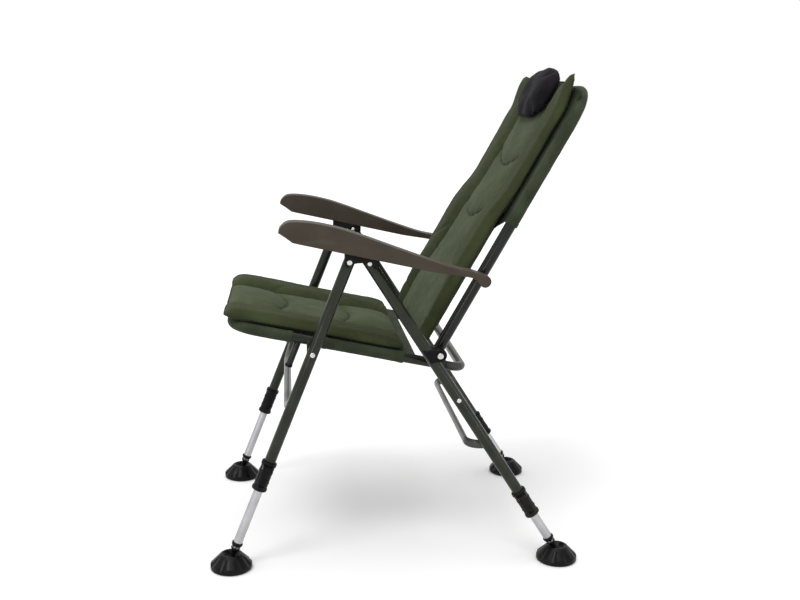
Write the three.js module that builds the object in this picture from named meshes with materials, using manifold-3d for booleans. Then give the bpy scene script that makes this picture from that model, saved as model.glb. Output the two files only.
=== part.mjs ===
// Carp fishing chair with a reclining padded back, telescopic legs and swivel mud feet.
// Millimetres, +Z up, +X to the sitter's left, the sitter faces -Y.
// The origin is on the ground in the middle of the four feet.

import * as THREE from 'three';
import { mergeVertices } from 'three/addons/utils/BufferGeometryUtils.js';
import Module from 'manifold-3d';

const wasm = await Module();
wasm.setup();

// Driving dimensions: the side view of the frame

const foot_y = 367.75;
const ball_z = 22;
const front_pin_y = -115.25;
const front_pin_z = 688;
const rear_pin_y = -72.65;
const rear_pin_z = 685.4;
const hinge_y = 83.25;
const hinge_z = 485;
const stud_z = 487;
const stop_rivet_z = 383;
const rail_y = 10.25;
const rail_z = 467.6;
const seat_slope_degrees = 10.9;
const back_lean_degrees = 28.6;
const seat_front_y = -364;
const seat_rear_y = 143;
const back_height = 643;

// Driving dimensions: the width of the cushions, and the tubes and their planes

const pad_half_width = 250;
const pad_over_rail = 12;
const pad_over_back_tube = 2;
const pad_to_leg = 30;
const leg_x = pad_half_width + pad_to_leg;
const rail_x = pad_half_width - pad_over_rail;
const back_tube_x = pad_half_width - pad_over_back_tube;
const leg_radius = 12.5;
const leg_bore = 10.4;
const inner_leg_radius = 10;
const rail_radius = 11;
const crossbar_radius = 9;
const rear_bar_radius = 10;
const back_tube_radius = 12.5;
const sleeve_wall = 1.2;
const sleeve_gap = 0.3;
const gap = 0.3;
const overrun = 2;

// Places in the side view: a point (y, z) and a direction with its angle

const side = (y, z) => new THREE.Vector2(y, z);
const toRadians = (degrees) => (degrees * Math.PI) / 180;

const front_ball = side(-foot_y, ball_z);
const rear_ball = side(foot_y, ball_z);
const front_pin = side(front_pin_y, front_pin_z);
const rear_pin = side(rear_pin_y, rear_pin_z);
const hinge = side(hinge_y, hinge_z);

const front_leg_up = front_pin.clone().sub(front_ball).normalize();
const rear_leg_up = rear_pin.clone().sub(rear_ball).normalize();
const seat_back_way = side(Math.cos(toRadians(seat_slope_degrees)), -Math.sin(toRadians(seat_slope_degrees)));
const seat_normal = side(-seat_back_way.y, seat_back_way.x);
const back_up = side(Math.sin(toRadians(back_lean_degrees)), Math.cos(toRadians(back_lean_degrees)));
const back_normal = side(-back_up.y, back_up.x);

const along = (start, way, distance) => start.clone().addScaledVector(way, distance);
const alongFrontLeg = (distance) => along(front_ball, front_leg_up, distance);
const alongRearLeg = (distance) => along(rear_ball, rear_leg_up, distance);
const frontLegAtHeight = (z) => alongFrontLeg((z - ball_z) / front_leg_up.y);
const rearLegAtHeight = (z) => alongRearLeg((z - ball_z) / rear_leg_up.y);
const rail_start = side(rail_y, rail_z);
const onRail = (y) => along(rail_start, seat_back_way, (y - rail_y) / seat_back_way.x);
const onSeat = (y, height) => along(onRail(y), seat_normal, height);
const onBack = (s, n) => along(along(hinge, back_up, s), back_normal, n);
const at = (x, point) => new THREE.Vector3(x, point.x, point.y);
const mix = THREE.MathUtils.lerp;
const smooth = THREE.MathUtils.smoothstep;

// Materials

const finish = (color, roughness, metalness) =>
  new THREE.MeshStandardMaterial({ color, roughness, metalness });
const green_paint = finish(0x353929, 0.45, 0.3);
const grey_tube = finish(0x7d7c7a, 0.4, 0.7);
const aluminium = finish(0xd1cfd2, 0.3, 0.9);
const black_plastic = finish(0x18161a, 0.55, 0);
const foot_plastic = finish(0x1e1c1f, 0.6, 0);
const bright_steel = finish(0xc8c8cc, 0.25, 1);
const sleeve_cloth = finish(0x363e2f, 0.9, 0);
const dark_cloth = finish(0x30372a, 0.95, 0);
const cushion_cloth = finish(0x464f34, 0.9, 0);
const armrest_plastic = finish(0x47403a, 0.6, 0);
const headrest_cloth = finish(0x141215, 0.9, 0);

const chair = new THREE.Group();
const addPiece = (name, geometry, material) => {
  const piece = new THREE.Mesh(geometry, material);
  piece.name = name;
  chair.add(piece);
};
const eachSide = (make) => {
  make('left', 1);
  make('right', -1);
};

// Solids: a closed mesh becomes a solid that can be cut and joined, and comes back as a geometry

const volumeSign = (position, index) => {
  let total = 0;
  const corner = [0, 1, 2].map(() => new THREE.Vector3());
  for (let i = 0; i < index.length; i += 3) {
    corner.forEach((point, k) => point.fromBufferAttribute(position, index[i + k]));
    total += corner[0].dot(corner[1].clone().cross(corner[2]));
  }
  return Math.sign(total);
};

const toSolid = (geometry) => {
  const bare = geometry.clone();
  bare.deleteAttribute('normal');
  bare.deleteAttribute('uv');
  const merged = mergeVertices(bare);
  const index = Array.from(merged.index.array);
  if (volumeSign(merged.attributes.position, index) < 0) {
    for (let i = 0; i < index.length; i += 3) {
      [index[i + 1], index[i + 2]] = [index[i + 2], index[i + 1]];
    }
  }
  return new wasm.Manifold(
    new wasm.Mesh({
      numProp: 3,
      vertProperties: Float32Array.from(merged.attributes.position.array),
      triVerts: Uint32Array.from(index),
    }),
  );
};

const toGeometry = (solid) => {
  const mesh = solid.getMesh();
  const geometry = new THREE.BufferGeometry();
  geometry.setAttribute('position', new THREE.BufferAttribute(new Float32Array(mesh.vertProperties), 3));
  geometry.setIndex(new THREE.BufferAttribute(new Uint32Array(mesh.triVerts), 1));
  geometry.computeVertexNormals();
  return geometry;
};

const cut = (solid, ...tools) => tools.reduce((rest, tool) => rest.subtract(tool), solid);
const join = (solid, ...others) => others.reduce((rest, other) => rest.add(other), solid);
const mirrored = (geometry, sign) => {
  const copy = geometry.clone();
  copy.scale(sign, 1, 1);
  return toGeometry(toSolid(copy));
};

// Shapes used by many pieces

const rodBetween = (start, end, radius, sides = 14) => {
  const way = end.clone().sub(start);
  const rod = new THREE.CylinderGeometry(radius, radius, way.length(), sides);
  const turn = new THREE.Quaternion().setFromUnitVectors(new THREE.Vector3(0, 1, 0), way.normalize());
  rod.applyQuaternion(turn);
  rod.translate(...start.clone().add(end).multiplyScalar(1 / 2).toArray());
  return toSolid(rod);
};

const pinAcross = (point, x_start, x_end, radius, sides = 14) =>
  rodBetween(at(x_start, point), at(x_end, point), radius, sides);

// A lathe profile of [radius, distance] rows, turned about a line that starts at a point
const turned = (profile, start, way, segments) => {
  const points = profile.map(([radius, distance]) => new THREE.Vector2(radius, distance));
  const body = new THREE.LatheGeometry(points, segments);
  body.applyQuaternion(new THREE.Quaternion().setFromUnitVectors(new THREE.Vector3(0, 1, 0), way));
  body.translate(...start.toArray());
  return toSolid(body);
};

// A side outline of (y, z) points, extruded across from one x to another
const plate = (outline, x_start, x_end, bevel = 0) => {
  const shape = outline instanceof THREE.Shape ? outline : new THREE.Shape(outline);
  const body = new THREE.ExtrudeGeometry(shape, {
    depth: x_end - x_start - bevel - bevel,
    bevelEnabled: bevel > 0,
    bevelSize: bevel,
    bevelThickness: bevel,
    bevelOffset: -bevel,
    bevelSegments: 2,
    curveSegments: 8,
  });
  body.translate(0, 0, x_start + bevel);
  body.applyMatrix4(new THREE.Matrix4().set(0, 0, 1, 0, 1, 0, 0, 0, 0, 1, 0, 0, 0, 0, 0, 1));
  return toSolid(body);
};

// A tube bent through corner points, each corner an arc of the bend radius
class BentPath extends THREE.Curve {
  constructor(corners, bend_radius, arc_steps) {
    super();
    this.stops = [corners[0]];
    for (let i = 1; i < corners.length - 1; i += 1) {
      const corner = corners[i];
      const to_last = corners[i - 1].clone().sub(corner).normalize();
      const to_next = corners[i + 1].clone().sub(corner).normalize();
      const half = to_last.angleTo(to_next) / 2;
      const centre = to_last.clone().add(to_next).normalize();
      centre.multiplyScalar(bend_radius / Math.sin(half)).add(corner);
      const reach = bend_radius / Math.tan(half);
      const arc_start = corner.clone().addScaledVector(to_last, reach).sub(centre);
      const arc_end = corner.clone().addScaledVector(to_next, reach).sub(centre);
      const turn_axis = arc_start.clone().cross(arc_end).normalize();
      const turn = arc_start.angleTo(arc_end);
      for (let k = 0; k <= arc_steps; k += 1) {
        this.stops.push(arc_start.clone().applyAxisAngle(turn_axis, (turn * k) / arc_steps).add(centre));
      }
    }
    this.stops.push(corners[corners.length - 1]);
  }
  getPointAt(share) {
    return this.stops[Math.round(share * (this.stops.length - 1))].clone();
  }
  getTangentAt(share, target = new THREE.Vector3()) {
    const i = Math.round(share * (this.stops.length - 1));
    const before = this.stops[Math.max(i - 1, 0)];
    const after = this.stops[Math.min(i + 1, this.stops.length - 1)];
    const here = this.stops[i];
    const way_in = i > 0 ? here.clone().sub(before).normalize() : new THREE.Vector3();
    const way_out = i < this.stops.length - 1 ? after.clone().sub(here).normalize() : new THREE.Vector3();
    return target.copy(way_in).add(way_out).normalize();
  }
}

const bentTube = (corners, bend_radius, radius, sides = 12, arc_steps = 5) => {
  const path = new BentPath(corners, bend_radius, arc_steps);
  const section = new THREE.Shape();
  section.absarc(0, 0, radius, 0, Math.PI * 2);
  const tube = new THREE.ExtrudeGeometry(section, {
    steps: path.stops.length - 1,
    curveSegments: sides / 2,
    extrudePath: path,
    bevelEnabled: false,
  });
  return toSolid(tube);
};

// A round arc of (y, z) points about a centre, from one angle to another
const arcPoints = (centre, radius, start_degrees, end_degrees, steps) =>
  Array.from({ length: steps + 1 }, (_, k) => {
    const angle = toRadians(mix(start_degrees, end_degrees, k / steps));
    return side(centre.x + radius * Math.cos(angle), centre.y + radius * Math.sin(angle));
  });

// Rear frame: legs, cross-bar, hinge saddles, armrest brackets, rivets

const rear_clamp_start = 108;
const front_clamp_start = 172;
const clamp_length = 68;
const clamp_grip_length = 46;
const stop_rivet_radius = 3.2;
const pin_radius = 3;
const pin_clearance = 0.3;
const bracket_slope = -0.2;
const armrest_under_z = 682.85;
const channel_top_gap = 0.6;
const bracket_sheet = 2;
const bracket_front_y = -125;
const bracket_rear_y = -52.75;
const bracket_skirt = 36;
const bracket_arch = 9;
const bracket_side_gap = 0.8;
const bracket_foot_share = 0.72;
const bracket_bolt_shares = [1.2, 1.4];
const armrestUnder = (y) => armrest_under_z + bracket_slope * y;

const leg_end_of = (clamp_start) => clamp_start + clamp_length - clamp_grip_length;
const front_leg_length = front_pin.distanceTo(front_ball);
const rear_leg_length = rear_pin.distanceTo(rear_ball);
const front_leg_above_pin = 5;
const front_stud = frontLegAtHeight(stud_z);
const stop_rivet = rearLegAtHeight(stop_rivet_z);

const outerLeg = (x, low, high, holes) => {
  const start = at(x, low);
  const end = at(x, high);
  const way = end.clone().sub(start).normalize();
  const bore_start = start.clone().addScaledVector(way, -overrun);
  const bore_end = end.clone().addScaledVector(way, overrun);
  const tube = cut(rodBetween(start, end, leg_radius), rodBetween(bore_start, bore_end, leg_bore));
  const drills = holes.map(([point, radius]) =>
    pinAcross(point, x - leg_radius - overrun, x + leg_radius + overrun, radius + pin_clearance, 8),
  );
  return cut(tube, ...drills);
};

const rear_leg_mitre_gap = bracket_sheet + channel_top_gap + gap;
const mitre_span = leg_radius * 4;
eachSide((word, sign) => {
  const x = sign * leg_x;
  const leg_foot = alongRearLeg(leg_end_of(rear_clamp_start));
  const leg_top = alongRearLeg(rear_leg_length + leg_radius);
  const leg = outerLeg(x, leg_foot, leg_top, [
    [rear_pin, pin_radius],
    [stop_rivet, stop_rivet_radius],
  ]);
  const mitre_y = [rear_pin_y - mitre_span, rear_pin_y + mitre_span];
  const mitre_low = mitre_y.map((y) => side(y, armrestUnder(y) - rear_leg_mitre_gap));
  const mitre_high = mitre_low.map((point) => point.clone().add(side(0, mitre_span)));
  const above = plate(
    [mitre_low[0], mitre_low[1], mitre_high[1], mitre_high[0]],
    x - leg_radius - overrun,
    x + leg_radius + overrun,
  );
  addPiece(`rear_leg_${word}`, toGeometry(cut(leg, above)), green_paint);
});

// Rivets that stop the telescopic inner leg, with a domed head on each side of the tube

const rivet_head_radius = 5;
const rivet_head_height = 2;
const rivet_dome_shares = [0.7, 0.8];
const rivetThrough = (point, x, reach, radius, head_radius, head_height) => {
  const middle = at(x, point);
  const out = new THREE.Vector3(1, 0, 0);
  const half = reach + gap;
  const profile = [
    [0, -half - head_height],
    [head_radius * rivet_dome_shares[0], -half - head_height * rivet_dome_shares[1]],
    [head_radius, -half],
    [radius, -half],
    [radius, half],
    [head_radius, half],
    [head_radius * rivet_dome_shares[0], half + head_height * rivet_dome_shares[1]],
    [0, half + head_height],
  ];
  return turned(profile, middle, out, 8);
};
eachSide((word, sign) => {
  const rivet = rivetThrough(
    stop_rivet,
    sign * leg_x,
    leg_radius,
    stop_rivet_radius,
    rivet_head_radius,
    rivet_head_height,
  );
  addPiece(`stop_rivet_${word}`, toGeometry(rivet), bright_steel);
});

// Rear cross-bar: a flat-oval U whose arms lie against the insides of the rear legs

const rear_crossbar_y = 156.25;
const rear_crossbar_z = 272;
const rear_crossbar_bend = 30;
const rear_crossbar_half_depth = 6;
const rear_crossbar_half_height = 10;
const crossbar_weld_reach = 10;
const rear_arm_x = leg_x - leg_radius - rear_crossbar_half_depth - gap;
{
  const arm_end = rearLegAtHeight(rear_crossbar_z).x + crossbar_weld_reach;
  const corners = [
    new THREE.Vector3(rear_arm_x, arm_end, 0),
    new THREE.Vector3(rear_arm_x, rear_crossbar_y, 0),
    new THREE.Vector3(-rear_arm_x, rear_crossbar_y, 0),
    new THREE.Vector3(-rear_arm_x, arm_end, 0),
  ];
  const bar = toGeometry(bentTube(corners, rear_crossbar_bend, rear_crossbar_half_depth));
  bar.scale(1, 1, rear_crossbar_half_height / rear_crossbar_half_depth);
  bar.translate(0, 0, rear_crossbar_z);
  addPiece('rear_crossbar', toGeometry(toSolid(bar)), grey_tube);
}

// Hinge saddles: moulded blocks behind the rear legs that carry the hinge bolts

const saddle_boss_radius = 15;
const saddle_half_height = 16.5;
const saddle_leg_span = saddle_half_height * 4;
const saddle_arc_degrees = 75;
const saddle_reach_over_leg = 8;
const saddle_inside_leg = 17.5;
const saddle_inner_x = leg_x - saddle_inside_leg;
const saddle_wall = 2.6;
const saddle_boss_height = 1.8;
const bolt_radius = 4;
const bolt_head_radius = 7;
const bolt_head_height = 4.2;
const saddle_outer_x = leg_x + leg_radius + saddle_wall;
const saddle_boss_x = saddle_outer_x + saddle_boss_height;
const saddleOutline = () => {
  const leg_middle = rearLegAtHeight(hinge_z);
  const rearward = side(rear_leg_up.y, -rear_leg_up.x);
  const low = along(along(leg_middle, rear_leg_up, -saddle_half_height), rearward, -saddle_reach_over_leg);
  const high = along(along(leg_middle, rear_leg_up, saddle_half_height), rearward, -saddle_reach_over_leg);
  const rear_degrees = THREE.MathUtils.radToDeg(Math.atan2(rearward.y, rearward.x));
  const arc_degrees = [rear_degrees - saddle_arc_degrees, rear_degrees + saddle_arc_degrees];
  const arc = arcPoints(hinge, saddle_boss_radius, ...arc_degrees, 10);
  return [low, ...arc, high];
};
eachSide((word, sign) => {
  const block = plate(saddleOutline(), saddle_inner_x, saddle_outer_x);
  const boss = pinAcross(hinge, saddle_outer_x - overrun, saddle_boss_x, saddle_boss_radius - overrun, 20);
  const leg = rodBetween(
    at(leg_x, along(rearLegAtHeight(hinge_z), rear_leg_up, -saddle_leg_span)),
    at(leg_x, along(rearLegAtHeight(hinge_z), rear_leg_up, saddle_leg_span)),
    leg_radius + gap,
    20,
  );
  const bolt_hole = pinAcross(
    hinge,
    saddle_inner_x - overrun,
    saddle_boss_x + overrun,
    bolt_radius + pin_clearance,
    12,
  );
  const saddle = cut(join(block, boss), leg, bolt_hole);
  addPiece(`hinge_saddle_${word}`, mirrored(toGeometry(saddle), sign), black_plastic);
});

// Armrest brackets: folded channels over the leg tops that the armrests slide on

const bracket_inner_x = leg_x - leg_radius - bracket_side_gap - bracket_sheet;
const bracket_outer_x = leg_x + leg_radius + bracket_side_gap + bracket_sheet;
eachSide((word, sign) => {
  const top = (y) => side(y, armrestUnder(y) - channel_top_gap);
  const low_front = side(bracket_front_y + bracket_sheet, front_pin_z - leg_radius * bracket_foot_share);
  const low_rear = side(bracket_rear_y - bracket_sheet, rear_pin_z - leg_radius * bracket_foot_share);
  const arch_steps = 6;
  const arch = Array.from({ length: arch_steps + 1 }, (_, k) => {
    const share = k / arch_steps;
    const rise = bracket_arch * Math.sin(Math.PI * share);
    return side(mix(low_rear.x, low_front.x, share), mix(low_rear.y, low_front.y, share) + rise);
  });
  const outline = [top(bracket_front_y), ...arch.reverse(), top(bracket_rear_y)];
  const block = plate(outline, bracket_inner_x, bracket_outer_x);
  const under = (y) => side(y, armrestUnder(y) - channel_top_gap - bracket_sheet);
  const hollow_y = [bracket_front_y - overrun, bracket_rear_y + overrun];
  const hollow = plate(
    [
      under(hollow_y[0]),
      under(hollow_y[0]).add(side(0, -bracket_skirt)),
      under(hollow_y[1]).add(side(0, -bracket_skirt)),
      under(hollow_y[1]),
    ],
    bracket_inner_x + bracket_sheet,
    bracket_outer_x - bracket_sheet,
  );
  const drills = [front_pin, rear_pin].map((point) =>
    pinAcross(point, bracket_inner_x - overrun, bracket_outer_x + overrun, pin_radius + pin_clearance, 12),
  );
  const channel = cut(block, hollow, ...drills);
  addPiece(`armrest_bracket_${word}`, mirrored(toGeometry(channel), sign), black_plastic);
  const bracket_reach = leg_radius + bracket_side_gap + bracket_sheet;
  const rear_rivet = rivetThrough(
    rear_pin,
    sign * leg_x,
    bracket_reach,
    pin_radius,
    rivet_head_radius,
    rivet_head_height,
  );
  addPiece(`bracket_rivet_${word}`, toGeometry(rear_rivet), bright_steel);
  const front_bolt = rivetThrough(
    front_pin,
    sign * leg_x,
    bracket_reach,
    pin_radius,
    rivet_head_radius * bracket_bolt_shares[0],
    rivet_head_height * bracket_bolt_shares[1],
  );
  addPiece(`bracket_bolt_${word}`, toGeometry(front_bolt), bright_steel);
});

// Front legs, their end caps, and the studs that the seat hooks on

const cap_height = 7.6;
const cap_plug_wall = 1.5;
const cap_dome_shares = [
  [0.82, 0.55],
  [0.42, 0.92],
];
const stud_dome_shares = [1.1, 0.8];
const hook_plate_gap = 0.6;
const stud_radius = 4;
const hook_plate_inner_x = rail_x + rail_radius + hook_plate_gap;
const hook_plate_sheet = 4;
const stud_inner_x = hook_plate_inner_x + overrun;
eachSide((word, sign) => {
  const x = sign * leg_x;
  const leg_top = alongFrontLeg(front_leg_length + front_leg_above_pin);
  const leg = outerLeg(x, alongFrontLeg(leg_end_of(front_clamp_start)), leg_top, [
    [front_pin, pin_radius],
    [front_stud, stud_radius],
  ]);
  addPiece(`front_leg_${word}`, toGeometry(leg), green_paint);
  const up = new THREE.Vector3(0, front_leg_up.x, front_leg_up.y);
  const seat_of_cap = at(x, leg_top).addScaledVector(up, gap);
  const plug_radius = leg_bore - gap;
  const plug_start = pin_radius + cap_plug_wall - front_leg_above_pin;
  const cap = turned(
    [
      [0, plug_start],
      [plug_radius, plug_start],
      [plug_radius, 0],
      [leg_radius, 0],
      ...cap_dome_shares.map(([width, height]) => [leg_radius * width, cap_height * height]),
      [0, cap_height],
    ],
    seat_of_cap,
    up,
    16,
  );
  addPiece(`front_leg_cap_${word}`, toGeometry(cap), black_plastic);
  const stud_outer = leg_x + leg_radius + gap;
  const shank = pinAcross(front_stud, stud_inner_x, stud_outer + rivet_head_height / 2, stud_radius, 12);
  const head = turned(
    [
      [0, 0],
      [rivet_head_radius * stud_dome_shares[0], 0],
      [rivet_head_radius * stud_dome_shares[1], rivet_head_height * stud_dome_shares[1]],
      [0, rivet_head_height],
    ],
    at(stud_outer, front_stud),
    new THREE.Vector3(1, 0, 0),
    12,
  );
  addPiece(`seat_stud_${word}`, mirrored(toGeometry(join(shank, head)), sign), bright_steel);
});

// Front cross-bar: a U with wide bends, its arms against the insides of the front legs

const front_crossbar_z = 348;
const front_crossbar_arm_top_z = 425;
const front_crossbar_bend = 68;
const front_arm_x = leg_x - leg_radius - crossbar_radius - gap;
{
  const low = frontLegAtHeight(front_crossbar_z);
  const high = frontLegAtHeight(front_crossbar_arm_top_z);
  const corners = [
    at(front_arm_x, high),
    at(front_arm_x, low),
    at(-front_arm_x, low),
    at(-front_arm_x, high),
  ];
  const bar = bentTube(corners, front_crossbar_bend, crossbar_radius);
  addPiece('front_crossbar', toGeometry(bar), grey_tube);
}

// Telescopic inner legs, feet, clamps and cam levers, the same at all four corners

const inner_leg_wall = 1.4;
const inner_leg_start = 27;
const ball_radius = 9;
const neck_radius = 5.5;
const socket_clearance = 0.4;
const front_inner_leg_top = 358;
const rear_inner_leg_top = 350;
const collar_radius = 17;
const collar_chamfer = 2;
const collar_clearance = 0.4;
const lever_hinge_below_top = 12;
const lever_hinge_offset = 22;
const lever_length = 46;
const lever_width = 15;
const lever_thickness = 4;
const lever_clearance = 0.8;
const lever_tip_lift = 5;
const lug_thickness = 4;
const lug_root = 5.6;
const lug_half_length = 6;
const lug_reach = 4.5;
const knuckle_radius = 4.4;
const lever_pin_radius = 2;
const foot_radius = 45.7;
const foot_rim_height = 13;
const foot_top_z = 35;
const foot_crater_radius = 20;
const foot_chamfer = 3;
const foot_lobes = 8;
const foot_lobe_depth = 2.4;
const foot_lobe_shares = [0.55, 0.9];
const foot_dome_shares = [
  [0.93, 0.446],
  [0.72, 0.717],
];
const foot_crater_shares = [
  [1.22, 0.96],
  [0.95, 0.95],
];

const innerLeg = (x, ball, up, top) => {
  const arc_steps = 4;
  const neck_angle = Math.asin(neck_radius / ball_radius);
  const ball_profile = Array.from({ length: arc_steps + 1 }, (_, k) => {
    const angle = mix(-Math.PI, -neck_angle, k / arc_steps);
    return [Math.abs(ball_radius * Math.sin(angle)), ball_radius * Math.cos(angle)];
  });
  const floor_distance = inner_leg_start + inner_leg_wall * 2;
  const inside = inner_leg_radius - inner_leg_wall;
  const profile = [
    ...ball_profile,
    [neck_radius, inner_leg_start - overrun],
    [inner_leg_radius - inner_leg_wall / 2, inner_leg_start - overrun],
    [inner_leg_radius, inner_leg_start],
    [inner_leg_radius, top],
    [inside, top],
    [inside, floor_distance],
    [0, floor_distance],
  ];
  return turned(profile, at(x, ball), new THREE.Vector3(0, up.x, up.y), 12);
};

const collar = (x, ball, up, start) => {
  const end = start + clamp_length;
  const step = leg_end_of(start) - gap;
  const narrow = inner_leg_radius + collar_clearance;
  const wide = leg_radius + gap;
  const profile = [
    [narrow, start],
    [collar_radius - collar_chamfer, start],
    [collar_radius, start + collar_chamfer],
    [collar_radius, end - collar_chamfer],
    [collar_radius - collar_chamfer / 2, end],
    [wide, end],
    [wide, step],
    [narrow, step],
    [narrow, start],
  ];
  return turned(profile, at(x, ball), new THREE.Vector3(0, up.x, up.y), 16);
};

// A box beside a leg: reach outwards, across the leg, and along it from its ball
const legBox = (ball, up, reach, across, distance) => {
  const box = new THREE.BoxGeometry(reach[1] - reach[0], across[1] - across[0], distance[1] - distance[0]);
  box.translate((reach[0] + reach[1]) / 2, (across[0] + across[1]) / 2, (distance[0] + distance[1]) / 2);
  const basis = new THREE.Matrix4().makeBasis(
    new THREE.Vector3(1, 0, 0),
    new THREE.Vector3(0, up.y, -up.x),
    new THREE.Vector3(0, up.x, up.y),
  );
  box.applyMatrix4(basis);
  box.translate(leg_x, ball.x, ball.y);
  return toSolid(box);
};

const acrossLeg = (ball, up, reach, across, distance) => {
  const point = along(along(ball, up, distance), side(up.y, -up.x), across);
  return at(leg_x + reach, point);
};

const lug_inner = lever_width / 2 + gap;
const leverHingeDistance = (start) => start + clamp_length - lever_hinge_below_top;

const lockCollar = (ball, up, start) => {
  const hinge_distance = leverHingeDistance(start);
  const span = [hinge_distance - lug_half_length, hinge_distance + lug_half_length];
  const reach = [collar_radius - lug_root, lever_hinge_offset + lug_reach];
  const lugs = [
    legBox(ball, up, reach, [lug_inner, lug_inner + lug_thickness], span),
    legBox(ball, up, reach, [-lug_inner - lug_thickness, -lug_inner], span),
  ];
  const bridge_reach = [collar_radius - lug_thickness, collar_radius];
  const bridge = legBox(ball, up, bridge_reach, [-lug_inner - gap, lug_inner + gap], span);
  const leg_room = rodBetween(
    at(leg_x, along(ball, up, start)),
    at(leg_x, along(ball, up, start + clamp_length + overrun)),
    leg_radius + gap,
    16,
  );
  const whole_lug = lug_inner + lug_thickness + overrun;
  const pin_hole = rodBetween(
    acrossLeg(ball, up, lever_hinge_offset, -whole_lug, hinge_distance),
    acrossLeg(ball, up, lever_hinge_offset, whole_lug, hinge_distance),
    lever_pin_radius + gap,
    10,
  );
  const ears = cut(join(lugs[0], lugs[1], bridge), leg_room, pin_hole);
  return join(collar(leg_x, ball, up, start), ears);
};

const camLever = (ball, up, start) => {
  const hinge_distance = leverHingeDistance(start);
  const near = collar_radius + lever_clearance;
  const half_width = lever_width / 2;
  const knuckle = rodBetween(
    acrossLeg(ball, up, lever_hinge_offset, -half_width, hinge_distance),
    acrossLeg(ball, up, lever_hinge_offset, half_width, hinge_distance),
    knuckle_radius,
    14,
  );
  const whole_lug = lug_inner + lug_thickness;
  const pin = rodBetween(
    acrossLeg(ball, up, lever_hinge_offset, -whole_lug, hinge_distance),
    acrossLeg(ball, up, lever_hinge_offset, whole_lug, hinge_distance),
    lever_pin_radius,
    10,
  );
  const plate_reach = [near, near + lever_thickness];
  const tip = hinge_distance - lever_length;
  const blade = legBox(ball, up, plate_reach, [-half_width, half_width], [tip, hinge_distance]);
  const lip_reach = [near, near + lever_thickness + lever_tip_lift];
  const lip = legBox(ball, up, lip_reach, [-half_width, half_width], [tip, tip + lever_thickness]);
  return join(knuckle, pin, blade, lip);
};

const footSolid = (x, y) => {
  const socket = ball_radius + socket_clearance;
  const socket_steps = 4;
  const profile = [
    [0, 0],
    [foot_radius - foot_chamfer, 0],
    [foot_radius, foot_chamfer],
    [foot_radius, foot_rim_height],
    ...foot_dome_shares.map(([width, height]) => [foot_radius * width, foot_top_z * height]),
    ...foot_crater_shares.map(([width, height]) => [foot_crater_radius * width, foot_top_z * height]),
    ...Array.from({ length: socket_steps + 1 }, (_, k) => {
      const angle = (Math.PI / 2) * (k / socket_steps);
      return [socket * Math.cos(angle), ball_z - socket * Math.sin(angle)];
    }),
  ];
  const points = profile.map(([radius, z]) => new THREE.Vector2(Math.max(radius, 0), z));
  points[points.length - 1].x = 0;
  const body = new THREE.LatheGeometry(points, foot_lobes * 3);
  const position = body.attributes.position;
  for (let i = 0; i < position.count; i += 1) {
    const radius = Math.hypot(position.getX(i), position.getZ(i));
    const angle = Math.atan2(position.getZ(i), position.getX(i));
    const outer_share = smooth(radius, foot_radius * foot_lobe_shares[0], foot_radius * foot_lobe_shares[1]);
    const dent = foot_lobe_depth * outer_share * (1 - Math.cos(foot_lobes * angle)) / 2;
    const shrink = radius > 0 ? (radius - dent) / radius : 1;
    position.setX(i, position.getX(i) * shrink);
    position.setZ(i, position.getZ(i) * shrink);
  }
  body.rotateX(Math.PI / 2);
  body.translate(x, y, 0);
  return toSolid(body);
};

const corners = [
  ['front', front_ball, front_leg_up, front_clamp_start, front_inner_leg_top],
  ['rear', rear_ball, rear_leg_up, rear_clamp_start, rear_inner_leg_top],
];
corners.forEach(([end_word, ball, up, start, top]) => {
  eachSide((word, sign) => {
    const place = `${end_word}_${word}`;
    addPiece(`inner_leg_${place}`, toGeometry(innerLeg(sign * leg_x, ball, up, top)), aluminium);
    addPiece(`leg_clamp_${place}`, mirrored(toGeometry(lockCollar(ball, up, start)), sign), black_plastic);
    addPiece(`clamp_lever_${place}`, mirrored(toGeometry(camLever(ball, up, start)), sign), black_plastic);
    addPiece(`foot_${place}`, toGeometry(footSolid(sign * leg_x, ball.x)), foot_plastic);
  });
});

// Seat: the bent tube with its welded tabs, hook plates and stub posts, and the grey rear bar

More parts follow.
